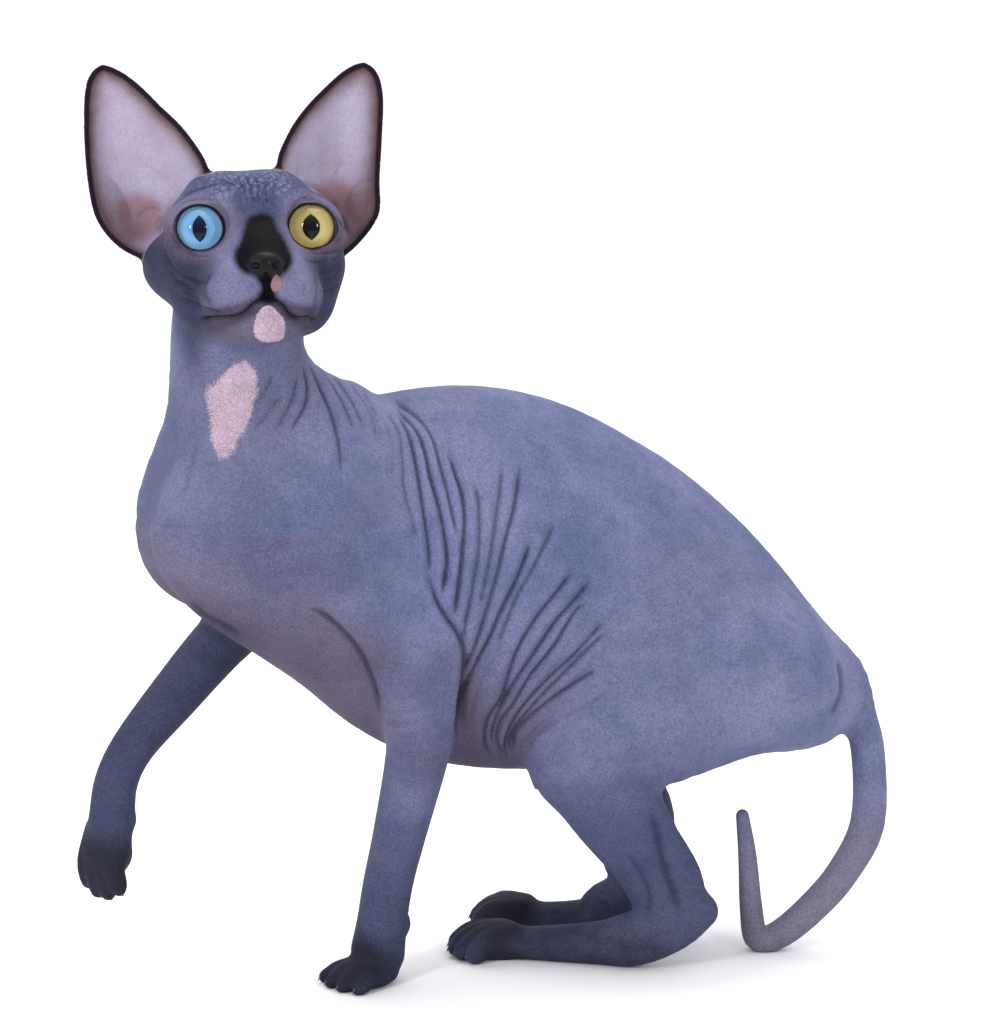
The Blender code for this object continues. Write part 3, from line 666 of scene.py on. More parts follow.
NECK_FOLDS = (
    ([(304, 352), (321, 388), (332, 413), (340, 450), (341, 488)], 1.2, 1.3), ([(308, 354), (332, 383),
    (348, 413), (356, 440)], 1.0, 1.3), ([(316, 352), (342, 386), (358, 413), (368, 440)], 0.9, 1.3),
    ([(340, 366), (356, 390), (372, 415), (378, 450)], 0.7, 1.4), ([(360, 385), (372, 405), (384, 440)],
    0.6, 1.4), ([(302, 357), (308, 388), (305, 407), (286, 439)], 1.1, 1.3), ([(299, 370), (293, 400),
    (272, 436)], 0.9, 1.3), ([(276, 372), (268, 388), (252, 410)], 0.8, 1.0), ([(284, 392), (267, 415),
    (250, 436)], 0.8, 1.1), ([(254, 400), (243, 428), (238, 452)], 0.5, 1.2), ([(200, 430), (190, 471),
    (179, 512)], 0.5, 2.6), ([(178, 405), (174, 450), (163, 492)], 0.4, 2.8))
LEG_FOLDS = (
    ([(300, 604), (322, 615), (342, 632), (361, 656), (374, 690), (381, 730)], 1.8, 2.2), ([(424, 560),
    (431, 580), (441, 606), (455, 627), (464, 645), (465, 668), (461, 700), (459, 735), (452, 765)], 2.6,
    1.3), ([(188, 600), (203, 616), (222, 626), (246, 640)], 1.4, 2.4), ([(648, 800), (656, 826),
    (666, 870), (676, 900), (684, 925)], 1.3, 3.4), ([(622, 850), (640, 872), (650, 900), (640, 925)],
    1.0, 2.4), ([(838, 655), (843, 685), (838, 705), (826, 722)], 1.4, 2.0))
BROAD_HOLLOWS = (
    ([(590, 650), (650, 640), (700, 622), (745, 592)], 1.5, 6.0), ([(655, 480), (690, 505), (720, 530),
    (745, 570)], 1.2, 6.5), ([(700, 700), (740, 690), (790, 665), (815, 640)], 1.0, 7.0), ([(240, 430),
    (262, 480), (300, 540), (345, 590)], 1.0, 7.0))

PAW_MIDDLES = ((-66, -60, 2), (-2, -14, 2), (4, 33, 2), (-173, -88, 56))
PAW_MARK = 26
ELBOW_DARKER_PATCH = [(455, 690), (466, 655), (480, 668), (486, 720), (492, 770), (456, 768)]
THROAT_MARK = [(244, 358), (232, 368), (213, 384), (206, 396), (209, 414), (214, 446), (223, 459),
               (232, 452), (240, 438), (247, 422), (253, 404), (258, 388), (253, 370)]


def paint_body(hide):
    """Folds and colour below the head, with painted shade in the folds, beneath the trunk and chest and on the
    raised leg, and lower legs darker partly by painted shade; the far side has the near side's folds over the
    line of the back.
    """
    other = mirrored(hide.places)
    far_seen = as_seen(other)
    back = other - hide.places
    facing_away = ease(hide.normals[:, 1], 0.05, 0.3) * (np.abs(back[:, 1]) > 20)
    for path, depth, width in FLANK_FOLDS:
        hide.crease(path, 1.15 * depth, width, start=0.1, end=0.12)
        hide.crease(path, 0.9 * depth, width, far_seen, facing_away, start=0.1, end=0.12)
    for path, depth, width in NECK_FOLDS:
        hide.crease(path, 1.3 * depth, width)
    for path, depth, width in BROAD_HOLLOWS:
        hide.crease(path, depth, width, shade_share=0.35)
        hide.crease(path, depth, width, far_seen, facing_away, shade_share=0.35)
    for path, depth, width in LEG_FOLDS:
        hide.crease(path, depth, width)
    x, y, z = hide.places.T
    nx, ny, nz = hide.normals.T
    # painted shade: the trunk darker where its skin faces down
    low = ease(-nz, -0.1, 0.75)
    trunk = ease(z, 84, 100) * ease(-x, -70, -30) * (1 - ease(z, 210, 260))
    hide.mark("flush_and_shade", low * trunk * 0.9)
    # painted shade under the chest, where its skin faces down
    breast = ease(-x, 30, 70) * ease(z, 170, 200) * (1 - ease(z, 235, 300))
    hide.mark("flush_and_shade", 0.55 * ease(-nz, -0.5, 0.3) * breast)
    # a darker mauve patch by the elbow
    hide.patch("flush_and_shade", ELBOW_DARKER_PATCH, 3.0)
    # lower legs darker toward the floor: partly their own tone, partly painted shade
    foreleg = ease(-x, 5, 15) * (1 - ease(z, 40, 150)) * 0.4
    hindleg = (1 - ease(z, 25, 150)) * 0.75
    hide.mark("dark", np.maximum(foreleg, hindleg) * (1 - ease(x, 104, 112)))
    # painted shade on the raised foreleg
    raised = ease(-x, 95, 118) * (1 - ease(z, 130, 205)) * ease(190 - z, 0, 20)
    hide.mark("dark", raised * 0.85)
    sole = ease(x, -30, -10) * ease(110 - x, 15, 40)
    hide.mark("paw", 0.6 * sole * (1 - ease(z, 12, 34)))
    for middle in PAW_MIDDLES:
        apart = np.linalg.norm(hide.places - np.array(middle), axis=1)
        hide.mark("paw", 1 - ease(apart, 0.3 * PAW_MARK, 1.5 * PAW_MARK))
    hide.mark("tail", ease(x, 108, 112) * (1 - ease(z, 20, 100)) * (z < 130))
    hide.patch("pink", THROAT_MARK, 2.2)


# The face: creases and markings round the eyes, brow, muzzle and mouth
FACE_FOLDS = (
    ([(237, 172), (243, 189), (247, 199), (248, 208)], 0.7, 0.9), ([(244, 171), (250, 184), (252, 193),
    (257, 207)], 0.9, 0.9), ([(252, 171), (258, 184), (259, 196), (258, 207)], 0.9, 0.8), ([(273, 173),
    (267, 184), (266, 196), (271, 207)], 0.9, 0.9), ([(262, 172), (264, 186), (262, 200)], 0.5, 0.8),
    ([(230, 171), (237, 184), (245, 197)], 0.5, 0.9), ([(280, 173), (275, 186), (272, 198)], 0.5, 0.9),
    ([(176, 205), (184, 195), (196, 189), (210, 185), (226, 182), (238, 187), (245, 197)], 0.8, 1.0),
    ([(160, 238), (162, 222), (170, 208), (182, 196)], 0.8, 1.1), ([(171, 230), (173, 240), (184, 249),
    (197, 252)], 0.8, 0.9), ([(161, 240), (164, 252), (171, 266), (182, 275), (199, 282), (206, 279),
    (213, 270)], 0.7, 1.1), ([(172, 279), (186, 287), (198, 293)], 0.8, 0.9), ([(178, 296), (192, 302),
    (207, 309), (228, 314)], 0.8, 0.9), ([(180, 288), (192, 296), (205, 303)], 0.5, 0.8), ([(296, 209),
    (303, 201), (314, 198), (326, 204), (336, 215), (345, 228), (350, 243)], 0.9, 1.0), ([(292, 190),
    (304, 185), (318, 190), (332, 201), (343, 216)], 0.6, 1.0), ([(308, 250), (322, 253), (336, 251),
    (345, 244)], 0.8, 0.9), ([(318, 274), (331, 270), (341, 262)], 0.5, 1.0), ([(313, 271), (317, 285),
    (316, 302), (311, 314)], 0.6, 1.1), ([(214, 270), (205, 281), (206, 296), (216, 308)], 0.7, 1.1),
    ([(231, 302), (228, 309), (232, 315)], 0.3, 0.7), ([(219, 299), (222, 306), (229, 312)], 0.3, 0.7))
FINE_FOLDS = (
    ([(176, 262), (182, 270), (190, 276)], 0.4, 0.7), ([(168, 268), (176, 279), (190, 287)], 0.5, 0.8),
    ([(330, 262), (338, 256), (344, 247)], 0.5, 0.8), ([(322, 282), (333, 277), (341, 269)], 0.5, 0.8),
    ([(318, 292), (330, 290), (339, 283)], 0.5, 0.8), ([(172, 212), (182, 203), (196, 199), (212, 200),
    (222, 208)], 0.5, 0.8), ([(292, 205), (304, 197), (318, 198), (330, 208)], 0.5, 0.8), ([(186, 250),
    (198, 256), (212, 255)], 0.5, 0.8), ([(302, 258), (316, 262), (330, 258)], 0.5, 0.8), ([(200, 285),
    (204, 297), (212, 306)], 0.5, 0.8), ([(214, 176), (222, 182), (232, 192)], 0.4, 0.8), ([(290, 178),
    (284, 186), (280, 198)], 0.4, 0.8))
EAR_FOLDS = (
    ([(103, 172), (112, 180), (119.5, 188.6), (129.4, 208.4), (134.4, 228.2)], 0.7, 1.0), ([(136, 218.3),
    (149.2, 208.4), (165.7, 211.7)], 0.8, 0.9), ([(136, 162.2), (155.8, 172.1), (169, 188.6)], 0.45, 1.2),
    ([(378.6, 182), (360.4, 182), (350.5, 191.9), (343.9, 208.4), (337.3, 215)], 0.7, 1.0), ([(301, 149),
    (297.7, 168.8), (301, 182)], 0.5, 1.1), ([(343.9, 158.9), (334, 175.4), (330.7, 188.6)], 0.6, 1.0))
MOUTH = [
    (199, 322), (205, 319), (213, 318.5), (231, 318), (243, 313.5), (252, 305.5), (260, 300.5),
    (268, 299), (276, 301), (284, 307), (292, 316), (300, 319.5), (308, 318.5), (314, 320), (318, 323)]
PHILTRUM = [(266, 272), (266, 284), (267, 296), (268, 299)]
BLACK_MARK = [
    (250, 216), (245, 226), (240, 240), (234, 254), (236, 265), (243, 273), (254, 277), (260, 288),
    (258, 299), (266, 303), (277, 302), (276, 290), (280, 277), (289, 270), (293, 259), (287, 242),
    (277, 226), (272, 216), (262, 213)]
CHIN_MARK = [
    (256, 314), (262, 308), (271, 306), (279, 313), (285, 322), (284, 336), (276, 342), (260, 341),
    (254, 331)]
LIP_MARK = [(276, 274), (281, 280), (280, 289), (274, 292), (271, 287), (272, 280)]


# Half the width between the openings of the lids, and their half sizes
LIDS_APART = 23.6
LIDS_WIDE = 10.5
LIDS_HIGH = 9.6


def oval(places, middle, sizes):
    """How far out of an ellipsoid each place is, with 1 at its surface."""
    return np.linalg.norm((places - np.array(middle)) / np.array(sizes), axis=1)


def paint_face(hide):
    for path, depth, width in FACE_FOLDS:
        hide.crease(path, min(1.2 * depth, 1.1), width, shade_share=1.2)
    for path, depth, width in FINE_FOLDS:
        hide.crease(path, depth, width, shade_share=2.0)
    for path, depth, width in EAR_FOLDS:
        hide.crease(path, depth, 1.7 * width, shade_share=0.9)
    hide.crease(MOUTH, 2.6, 0.8, shoulder=0.18, shade_share=1.6, start=0.06, end=0.06)
    hide.crease(PHILTRUM, 1.4, 0.8, shoulder=0.25, shade_share=1.3, start=0.05, end=0.05)
    hide.patch("black", BLACK_MARK, 2.2)
    hide.patch("pink", CHIN_MARK, 0.7)
    hide.patch("strip", LIP_MARK, 0.5)
    local = from_head(hide.places)
    x, y, z = local.T
    in_front = y < 22
    hide.mark("crown", ease(z, 6, 18) * ease(24 - y, -14, 6) * ease(26 - np.abs(x), 0, 12))
    cheek = ease(np.abs(x), 14, 27) * ease(-z, -8, 6)
    brow = 0.55 * ease(z, 8, 18) * ease(34 - np.abs(x), 0, 14)
    between = 0.7 * ease(14 - np.abs(x), -2, 8) * ease(z, -8, 0) * ease(20 - z, 0, 10)
    of_the_face = ease(z, -75, -45) * ease(60 - y, 0, 30)
    hide.mark("dark", np.maximum(np.maximum(cheek, brow), between) * of_the_face)
    hide.mark("flush_and_shade", 0.6 * ease(np.abs(x), 12, 24) * (1 - ease(np.abs(z + 12), 8, 26)) * ease(30 - y, 0, 14))
    # painted shade under the jaw
    hide.mark("flush_and_shade", 0.7 * ease(-z, 30, 44) * ease(z, -75, -50) * ease(20 - y, 0, 20))
    for side in (-1, 1):
        apart = np.linalg.norm(local - np.array((side * EYE_APART, EYE_DEPTH, 0)), axis=1)
        rim = np.hypot((x - side * LIDS_APART) / LIDS_WIDE, z / LIDS_HIGH)
        hide.mark("lid", (1 - ease(rim, 0.97, 1.13)) * in_front * (apart < 15))
        hide.mark("socket", (1 - ease(rim, 1.1, 1.9)) * in_front)
        pad = oval(local, (side * 13, -18, -30), (13, 14, 10))
        hide.mark("pad", 1 - ease(pad, 0.6, 1.2))
    lips = 1 - ease(np.abs(z + 40 - 5 * np.exp(-((x / 9) ** 2))), 2.0, 6.0)
    hide.mark("lips", lips * ease(26 - np.abs(x), -4, 6) * ease(-y, -8, 0))
    hide.mark("nose", 1 - ease(oval(local, (0, -30, -20.5), (7.6, 6, 5.6)), 0.85, 1.1))


# Where the canal opens and where the outer pocket lies, right and up from the midpoint of the eyes
EAR_HOLLOWS = {"ear_right": ((-45, 12), (-60, 8)), "ear_left": ((39, 16), (52, 10))}


def paint_ears(hide):
    """Which places are inside an ear, and how near they are to its rim, its canal and its outer pocket."""
    inner, rim, canal, pocket = np.zeros((4, len(hide.places)))
    for name, sheet in SHEETS.items():
        low, high = sheet.places.min(0) - 6, sheet.places.max(0) + 6
        near = np.flatnonzero(((hide.places > low) & (hide.places < high)).all(1))
        apart, face, side = sheet.nearest(hide.places[near], 6.0)
        on = face >= 0
        near, apart, face, side = near[on], apart[on], face[on], side[on]
        local = from_head(hide.places[near])
        deep, outward = (np.linalg.norm(local[:, ::2] - middle, axis=1) for middle in EAR_HOLLOWS[name])
        gap = np.linalg.norm(hide.places[near, None] - sheet.edge[None], axis=2).min(1)
        close = 1 - ease(apart, 1.4, 3.5)
        front = from_head(hide.places[near] + hide.normals[near])[:, 1] < from_head(hide.places[near])[:, 1]
        inner[near] = np.maximum(inner[near], close * front)
        rim[near] = np.maximum(rim[near], close * np.exp(-gap / 9.0))
        canal[near] = np.maximum(canal[near], close * (1 - ease(deep, 4, 17)))
        pocket[near] = np.maximum(pocket[near], close * (1 - ease(outward, 6, 24)))
    for name, strength in (("ear", inner), ("rim", rim), ("canal", canal), ("pocket", pocket)):
        hide.mark(name, strength)


# The finely meshed part of the head: from the eyes down and back, and from the floor up
FINE_BELOW = -56
FINE_BEHIND = 60
FINE_ABOVE = 292


def make_hide(finish):
    """The one skin over every flesh solid."""
    shape_figure()
    places, quads = skin_mesh(VOXEL)
    mesh = bpy.data.meshes.new("skin")
    mesh.from_pydata(places.tolist(), [], quads.tolist())

    def of_the_head(at):
        local = from_head(at)
        return (local[:, 2] > FINE_BELOW) & (local[:, 1] < FINE_BEHIND) & (at[:, 2] > FINE_ABOVE)

    refine(mesh, of_the_head)
    places = read_places(mesh)
    chosen = np.flatnonzero(of_the_head(places))
    places[chosen] = settle(places[chosen])
    write_places(mesh, places)
    hide = Hide(places, read_normals(mesh))
    paint_body(hide)
    paint_face(hide)
    paint_ears(hide)
    places = places + hide.normals * hide.press[:, None]
    places = np.clip(places, LOWEST, HIGHEST)
    write_places(mesh, to_row(places))
    hide.marks["fold"] = hide.fold
    for name, strength in hide.marks.items():
        layer = mesh.attributes.new(name, "FLOAT", "POINT")
        layer.data.foreach_set("value", strength.astype(np.float32))
    mesh.shade_smooth()
    return new_piece("skin", mesh, finish)


# Shader maths written as expressions

class Wire:
    """A socket of one material's board; sums on it add Math nodes."""

    def __init__(self, board, socket):
        self.board, self.socket = board, socket

    def _math(self, operation, *values):
        return self.board.node("ShaderNodeMath", {"operation": operation}, dict(enumerate(values)))

    def __add__(self, other):
        return self._math("ADD", self, other)

    def __sub__(self, other):
        return self._math("SUBTRACT", self, other)

    def __mul__(self, other):
        return self._math("MULTIPLY", self, other)

    def __truediv__(self, other):
        return self._math("DIVIDE", self, other)

    def __rsub__(self, other):
        return self._math("SUBTRACT", other, self)

    def __pow__(self, power):
        return self._math("POWER", self, power)

    def __abs__(self):
        return self._math("ABSOLUTE", self)

    __radd__ = __add__
    __rmul__ = __mul__

    def ease(self, low, high, bottom=0.0, top=1.0):
        """A smooth rise from bottom to top as the value goes from low to high."""
        return self.board.node("ShaderNodeMapRange", {"interpolation_type": "SMOOTHSTEP"},
                               {0: self, 1: low, 2: high, 3: bottom, 4: top})

    def held(self):
        return self.board.node("ShaderNodeClamp", {}, {0: self})


class Board:
    """One material, made by name, or a world's light, and its nodes."""

    def __init__(self, owner, **constants):
        new = isinstance(owner, str)
        self.material = bpy.data.materials.new(owner) if new else owner
        self.material.use_nodes = True
        self.tree = self.material.node_tree
        self.shader = self.tree.nodes["Principled BSDF" if new else "Background"]
        self.output = self.tree.nodes["Material Output" if new else "World Output"]
        for socket, value in constants.items():
            self.shader.inputs[socket.replace("_", " ")].default_value = value

    def node(self, kind, settings=None, inputs=None, output=0):
        """Adds a node, its settings first, then the values or wires of its sockets."""
        made = self.tree.nodes.new(kind)
        for name, value in (settings or {}).items():
            setattr(made, name, value)
        for name, value in (inputs or {}).items():
            self.set(made.inputs[name], value)
        return Wire(self, made.outputs[output])

    def set(self, socket, value):
        if isinstance(value, Wire):
            self.tree.links.new(value.socket, socket)
        elif socket.type == "RGBA":
            socket.default_value = (*value, 1.0)
        else:
            socket.default_value = value

    def feed(self, socket, value):
        self.set(self.shader.inputs[socket], value)

    def mark(self, name):
        return self.node("ShaderNodeAttribute", {"attribute_name": name}, output=2)

    def place(self, output=3):
        return self.node("ShaderNodeTexCoord", output=output)

    def blend(self, first, second, share):
        """Two colours mixed; A is input 6 and B input 7 of a colour Mix node."""
        return self.node("ShaderNodeMix", {"data_type": "RGBA"}, {0: share, 6: first, 7: second}, output=2)

    def coats(self, colour, *coats):
        """Lays paints over a colour in turn, each given as red, green, blue and the share that it covers."""
        for *tone, share in coats:
            colour = self.blend(colour, paint(*tone), share)
        return colour

    def noise(self, scale, detail=3.0, rough=0.55, place=None):
        return self.node("ShaderNodeTexNoise", {}, {"Vector": place or self.place(), "Scale": scale,
                                                    "Detail": detail, "Roughness": rough})

    def bump(self, height, distance, strength):
        return self.node("ShaderNodeBump", {}, {"Height": height, "Distance": distance, "Strength": strength})


def paint(red, green, blue):
    """A colour given as it looks on a screen, 0 to 255."""
    return tuple(((value / 255 + 0.055) / 1.055) ** 2.4 if value > 10 else value / 255 / 12.92
                 for value in (red, green, blue))


def velvet_skin():
    """Slate skin with a short nap: mottled, darker legs partly in painted shade, painted shade in the folds, a
    flush with painted shade beneath, and its own patches.
    """
    board = Board("velvet skin", Sheen_Weight=0.012, Sheen_Roughness=0.5, Specular_IOR_Level=0.04,
                  Coat_Roughness=0.32)
    board.feed("Sheen Tint", (0.75, 0.75, 1.0))
    cloud = board.noise(22.0, 4.0, 0.6)
    mottle = board.noise(140.0, 4.0, 0.65)
    grain = board.noise(1150.0, 3.0, 0.7)
    wide = board.noise(7.0, 2.0, 0.5)
    crackle = board.node("ShaderNodeTexVoronoi", {"feature": "DISTANCE_TO_EDGE"},
                         {"Vector": board.place(), "Scale": 330.0})
    pebbles = board.node("ShaderNodeTexVoronoi", {}, {"Vector": board.place(), "Scale": 900.0})
    crown, nose, lid = board.mark("crown"), board.mark("nose"), board.mark("lid")
    ear, rim, canal = board.mark("ear"), board.mark("rim"), board.mark("canal")
    colour = board.blend(paint(82, 92, 124), paint(114, 116, 148), cloud.ease(0.3, 0.7))
    colour = board.coats(
        colour,
        (102, 100, 120, wide.ease(0.45, 0.7) * 0.5),
        (54, 62, 90, mottle.ease(0.42, 0.75) * 0.45),
        # a mauve flush, with painted shade beneath the trunk, chest and jaw
        (78, 62, 74, board.mark("flush_and_shade") * 0.8),
        # darker lower legs, partly their own tone and partly painted shade; painted shade on the raised
        # foreleg; darker cheeks and brow
        (38, 41, 62, board.mark("dark") * 0.9),
        (108, 101, 110, board.mark("tail") * 0.7),
        (102, 100, 124, board.mark("pad") * 0.6),
        (104, 88, 104, (board.mark("socket") * (mottle + 0.2)).held() * 0.6),
        (52, 42, 52, (board.mark("lips") * (cloud + 0.4)).held() * 0.8),
        (134, 140, 170, crown * crackle.ease(0.05, 0.35) * 0.4),
        # painted shade in the cracks of the crown's fine wrinkles
        (52, 56, 80, crown * (1.0 - crackle.ease(0.0, 0.12)) * 0.5))
    inside = board.coats(
        board.blend(paint(164, 156, 178), paint(150, 126, 140), cloud.ease(0.4, 0.7) * 0.6),
        (136, 96, 104, (canal + (mottle - 0.5) * 0.4).ease(0.1, 0.9) * 0.75),
        (96, 76, 76, board.mark("pocket") * (0.45 + mottle * 0.5)),
        (88, 68, 68, (rim + (mottle - 0.5) * 0.3).ease(0.2, 0.85)),
        (30, 18, 30, (rim + (mottle - 0.5) * 0.1).ease(0.76, 0.92)))
    colour = board.blend(colour, inside, ear.ease(0.2, 0.8))
    colour = board.coats(colour, (30, 20, 34, rim.ease(0.76, 0.95) * 0.9))
    edge = (grain - 0.5) * 0.55 + (mottle - 0.5) * 0.6
    pink = (board.mark("pink") + edge).ease(0.35, 0.65)
    colour = board.blend(colour, board.blend(paint(152, 132, 146), paint(172, 152, 166), cloud), pink)
    colour = board.coats(
        colour,
        (9, 8, 10, (board.mark("black") + edge * 0.5).ease(0.28, 0.72)),
        (140, 108, 108, (board.mark("strip") + edge * 0.6).ease(0.35, 0.65) * 0.9),
        (34, 33, 44, (board.mark("paw") + (mottle - 0.5) * 0.5).ease(0.25, 0.9) * 0.9),
        (14, 10, 16, lid.ease(0.3, 0.9)),
        # painted shade in the folds' grooves
        (20, 20, 36, board.mark("fold").ease(0.05, 1.0) * 0.6))
    speckle = grain.ease(0.25, 0.75, -0.3, 0.3) + mottle.ease(0.2, 0.8, -0.14, 0.14)
    light = 1.0 + speckle * (1.0 - ear * 0.6)
    colour = board.node("ShaderNodeVectorMath", {"operation": "SCALE"}, {0: colour, 3: light})
    board.feed("Base Color", colour)
    board.feed("Roughness", (0.62 + (grain - 0.5) * 0.2 - nose * 0.28 - lid * 0.2).held())
    board.feed("Coat Weight", (nose * 0.22 + lid * 0.4).held())
    height = grain * 0.5 + mottle * 0.8 + crown * crackle.ease(0.0, 0.3) * 0.5 + nose * pebbles * 1.2
    board.feed("Normal", board.bump(height, 0.00045, 0.8))
    return board.material


def iris_finish(name, outer, middle, inner, pupil, slit):
    """An iris in radial fibres round an upright slit; its object's own Z is the line of sight, X the width."""
    board = Board(name, Roughness=0.5, Specular_IOR_Level=0.0)
    x, y = (board.node("ShaderNodeSeparateXYZ", {}, {0: board.place()}, output) * 1000.0 for output in (0, 1))
    away = (x * x + y * y) ** 0.5
    around = board.node("ShaderNodeMath", {"operation": "ARCTAN2"}, {0: y, 1: x})
    fibre_place = board.node("ShaderNodeCombineXYZ", {}, {0: around * 9.0, 1: away * 0.35})
    fibre = board.noise(1.6, 5.0, 0.7, fibre_place)
    speck = board.noise(900.0, 2.0)
    away_out = away + (fibre - 0.5) * 1.2
    colour = board.blend(board.blend(inner, middle, away_out.ease(2.0, 5.0)), outer, away_out.ease(4.5, 8.8))
    colour = board.blend(colour, middle, (fibre.ease(0.35, 0.7)) * 0.35)
    colour = board.blend(colour, paint(14, 12, 18), away.ease(9.0, 9.7))
    colour = board.blend(colour, (1.0, 1.0, 1.0), speck.ease(0.55, 0.85) * 0.12)
    tall, wide = slit
    lens = ((x / wide) * (x / wide) + (y / tall) ** 2.0) ** 0.5
    pointed = lens + abs(y / tall) ** 3.0 * abs(x / wide) * 0.5
    colour = board.blend(pupil, colour, pointed.ease(0.94, 1.06))
    board.feed("Base Color", colour)
    board.feed("Normal", board.bump(fibre, 0.0004, 0.5))
    return board.material


def clear_dome():
    """Wet clear window of the eye: see-through, with sharp reflections."""
    board = Board("clear wet window")
    gloss = board.node("ShaderNodeBsdfGlossy", {}, {"Color": (1.0, 1.0, 1.0), "Roughness": 0.03})
    clear = board.node("ShaderNodeBsdfTransparent")
    share = board.node("ShaderNodeFresnel", {}, {"IOR": 1.45})
    mixed = board.node("ShaderNodeMixShader", {}, {0: share * 0.5, 1: clear, 2: gloss})
    board.set(board.output.inputs["Surface"], mixed)
    board.tree.nodes.remove(board.shader)
    return board.material


def plain_finish(name, colour, rough, scale=600.0, depth=0.0001, spread=0.15):
    board = Board(name, Roughness=rough)
    streak = board.noise(scale)
    dark = tuple(value * (1 - spread) for value in colour)
    light = tuple(min(1.0, value * (1 + spread)) for value in colour)
    board.feed("Base Color", board.blend(dark, light, streak.ease(0.3, 0.7)))
    board.feed("Normal", board.bump(streak, depth, 0.6))
    return board.material


# Eyes and claws

# The iris lies this far forward of the ball's centre; the ball clears its lids, and the window clears the ball
IRIS_FORWARD = 4.4
LID_CLEARANCE = 0.15
WINDOW = 1.004


def lathe(profile, spokes=72):
    """Turns a line of (radius, height) pairs round Z; a pair with no radius closes it."""
    places, faces, rings = [], [], []
    for radius, height in profile:
        if radius <= 0:
            rings.append([len(places)])
            places.append((0.0, 0.0, height))
        else:
            rings.append(list(range(len(places), len(places) + spokes)))
            for i in range(spokes):
                angle = 2 * math.pi * i / spokes
                places.append((radius * math.cos(angle), radius * math.sin(angle), height))
    for low, high in zip(rings, rings[1:]):
        for i in range(spokes):
            j = (i + 1) % spokes
            if len(low) == 1:
                faces.append((low[0], high[j], high[i]))
            elif len(high) == 1:
                faces.append((low[i], low[j], high[0]))
            else:
                faces.append((low[i], low[j], high[j], high[i]))
    return places, faces


def eye_piece(name, side, profile, finish):
    """A turned part of an eye whose own Z looks out of the face and whose X runs across it."""
    places, faces = lathe(profile)
    mesh = bpy.data.meshes.new(name)
    mesh.from_pydata([tuple(value * MM for value in at) for at in places], [], faces)
    mesh.shade_smooth()
    item = new_piece(name, mesh, finish)
    across, back, up = HEAD_TURN
    centre = to_row(on_head(side * EYE_APART, EYE_DEPTH, 0))
    item.matrix_world = Matrix([(*row, place) for row, place in zip(np.stack((across, up, -back), 1), centre)]
                               + [(0, 0, 0, 1)])
    return item


def make_eyes():
    blue = iris_finish("blue iris", paint(146, 192, 224), paint(104, 160, 210), paint(60, 116, 182),
                       paint(8, 12, 34), (5.7, 3.0))
    gold = iris_finish("gold iris", paint(204, 188, 122), paint(186, 168, 100), paint(150, 134, 76),
                       paint(6, 6, 8), (5.6, 3.7))
    white = plain_finish("eye white", paint(60, 48, 52), 0.3, 400.0)
    dome = clear_dome()
    radius = EYE_RADIUS - LID_CLEARANCE
    edge = math.sqrt(radius**2 - IRIS_FORWARD**2)
    start = math.atan2(IRIS_FORWARD, edge)
    ball_line = [(0, -radius)] + [(radius * math.cos(a), radius * math.sin(a))
                                  for a in np.linspace(-1.45, start, 28)]
    iris_line = [(edge - 0.02, IRIS_FORWARD), (edge * 0.75, IRIS_FORWARD - 0.35),
                 (edge * 0.4, IRIS_FORWARD - 0.45), (0, IRIS_FORWARD - 0.45)]
    dome_line = [(radius * math.cos(a) * WINDOW, radius * math.sin(a) * WINDOW)
                 for a in np.linspace(start, 1.48, 20)] + [(0, radius * WINDOW)]
    pieces = []
    for side, name, iris in ((-1, "right", blue), (1, "left", gold)):
        shell = eye_piece(f"eyeball_{name}", side, ball_line, white)
        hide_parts(f"eye_{name}")
        pieces += [shell, eye_piece(f"iris_{name}", side, iris_line, iris),
                   eye_piece(f"cornea_{name}", side, dome_line, dome)]
        for piece in pieces[-3:]:
            "eye_blue" if side < 0 else "eye_gold"
    return pieces


# A claw's length, thickness, depth of root in the toe, stand-out and angle of hook; its gap above the floor
CLAW_LENGTH = 3.4
CLAW_THICK = 1.0
CLAW_ROOT = 1.5
CLAW_OUT = 2.6
CLAW_HOOK = 1.25
FLOOR_GAP = 0.05


def claw_mesh(tip, ahead, down, length, thick):
    """A hooked claw: rings that shrink along a curve."""
    ahead, down = unit(ahead), unit(down - (down @ unit(ahead)) * unit(ahead))
    side = np.cross(ahead, down)
    places, faces = [], []
    rings, spokes = 7, 10
    for i in range(rings):
        share = i / (rings - 1)
        angle = share * CLAW_HOOK
        middle = tip + ahead * (length * math.sin(angle) - CLAW_ROOT) + down * length * (1 - math.cos(angle))
        radius = thick * (1 - share) ** 0.7 + 0.06
        for j in range(spokes):
            angle = 2 * math.pi * j / spokes
            places.append(middle + side * radius * 0.7 * math.cos(angle) + down * radius * math.sin(angle))
    for i in range(rings - 1):
        for j in range(spokes):
            k = (j + 1) % spokes
            faces.append((i * spokes + j, i * spokes + k, (i + 1) * spokes + k, (i + 1) * spokes + j))
    faces.append(tuple(range(spokes - 1, -1, -1)))
    faces.append(tuple((rings - 1) * spokes + j for j in range(spokes)))
    return places, faces


def make_claws(finish):
    places, faces = [], []
    for tip, ahead in TOE_TIPS:
        hanging = ahead[2] < -abs(ahead[0])
        down = np.array((0.6, 0.7, 0.0) if hanging else (0.0, 0.0, -1.0))
        if not hanging:
            tip, ahead = tip + (0, 0, 1.2), np.array((ahead[0], ahead[1], 0.25 * ahead[2]))
        claw, sides = claw_mesh(tip + unit(ahead) * CLAW_OUT, ahead, down, CLAW_LENGTH, CLAW_THICK)
        faces += [tuple(number + len(places) for number in side) for side in sides]
        places += claw
    places = np.array(places)
    places[:, 2] = np.maximum(places[:, 2], FLOOR_GAP)
    return new_piece("claws", new_mesh("claws", places, faces), finish)


# The stage and the lens

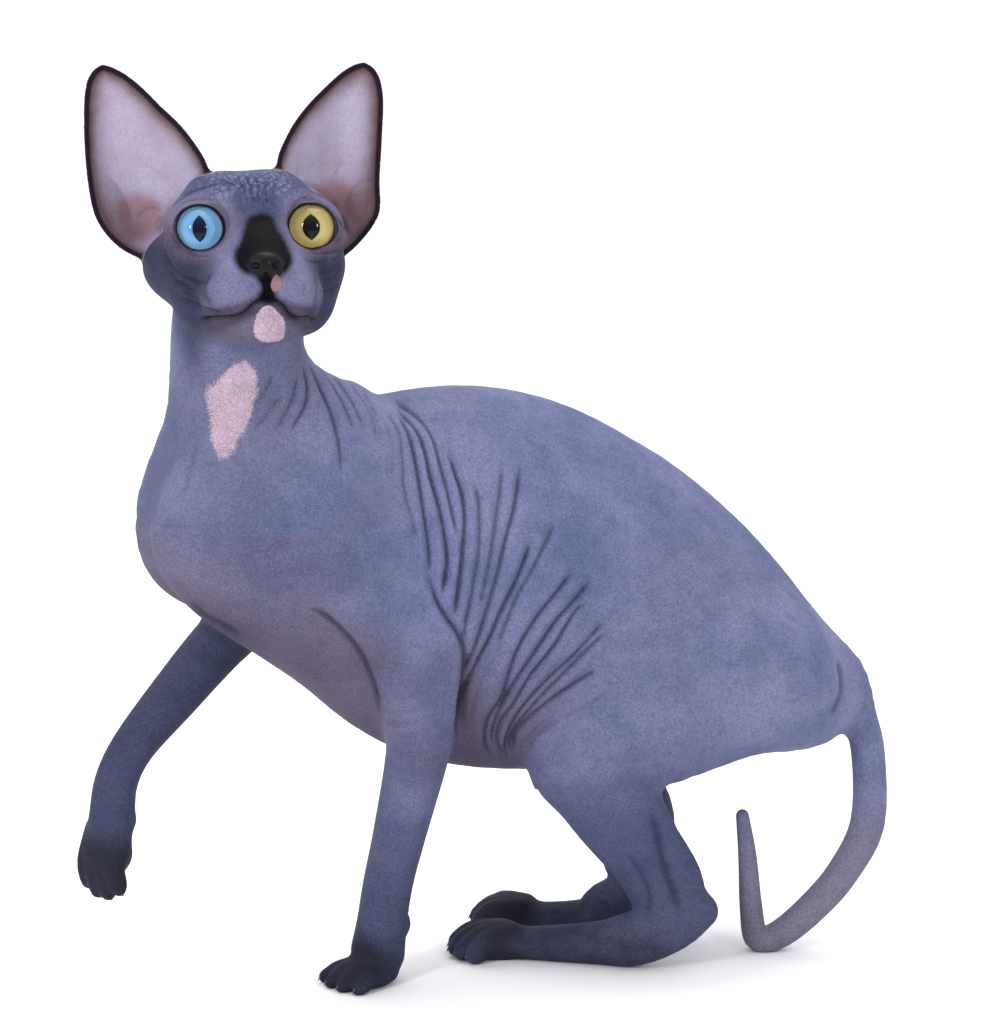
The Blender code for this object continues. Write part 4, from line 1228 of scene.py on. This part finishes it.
def look_from(item, place, target):
    item.location = place
    item.rotation_euler = (Vector(target) - Vector(place)).to_track_quat("-Z", "Y").to_euler()


# Brightness of the soft room in front of the cat, behind it, and what is added overhead
ROOM_FRONT = 0.55
ROOM_BACK = 1.08
ROOM_TOP = 0.75


def set_stage():
    floor_finish = plain_finish("pale floor", (0.93, 0.93, 0.93), 0.8, 3.0, 0.0, 0.01)
    mesh = bpy.data.meshes.new("floor")
    mesh.from_pydata([(-6, -4, 0), (6, -4, 0), (6, 12, 0), (-6, 12, 0)], [], [(0, 1, 2, 3)])
    floor = new_piece("floor", mesh, floor_finish)
    floor.location.z = -0.0004
    world = bpy.data.worlds.new("soft room")
    room = Board(world)
    aim = room.place(0)
    behind, over = (room.node("ShaderNodeSeparateXYZ", {}, {0: aim}, output) for output in (1, 2))
    room.feed("Color", (0.98, 0.98, 1.0))
    room.feed("Strength", behind.ease(-0.3, 0.75, ROOM_FRONT, ROOM_BACK) + over.ease(0.25, 0.95, 0.0, ROOM_TOP))
    bpy.context.scene.world = world
    target = to_row((0, -20, 190))
    for name, place, size, power, colour in (
            ("key light", (-1.1, -1.5, 0.75), 0.38, 17.0, (1.0, 0.98, 1.0)),
            ("fill light", (1.0, -1.6, 0.75), 0.3, 9.0, (0.94, 0.95, 1.0)),
            ("top light", (0.3, 0.5, 2.3), 1.4, 26.0, (0.97, 0.97, 1.0))):
        lamp = bpy.data.lights.new(name, "AREA")
        lamp.energy, lamp.size, lamp.color = power, size, colour
        item = bpy.data.objects.new(name, lamp)
        bpy.context.scene.collection.objects.link(item)
        look_from(item, np.array(place) + target, target)
    lens = bpy.data.cameras.new("camera")
    lens.sensor_width = SENSOR
    lens.lens = FOCAL_POINTS * SENSOR / max(PICTURE)
    lens.clip_start = 0.1
    camera = bpy.data.objects.new("camera", lens)
    bpy.context.scene.collection.objects.link(camera)
    look_from(camera, to_row(CAMERA_PLACE), to_row(CAMERA_TARGET))
    bpy.context.scene.camera = camera
    bpy.context.scene.view_settings.view_transform = "Standard"


eye_low, eye_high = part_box("eye_left")
PLACE = (np.array(eye_low) + np.array(eye_high)) / 2 - on_head(EYE_APART, EYE_DEPTH, 0) * MM
LOWEST, HIGHEST = ((np.array(corner) - PLACE) / MM for corner in CAD_BOX)

skin = make_hide(velvet_skin())
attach(skin, "root")
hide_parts(*[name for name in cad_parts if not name.startswith("eye_")])
for piece in make_eyes():
    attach(piece, "root")
claws = make_claws(plain_finish("claw horn", paint(60, 50, 54), 0.35))
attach(claws, "root")
set_stage()
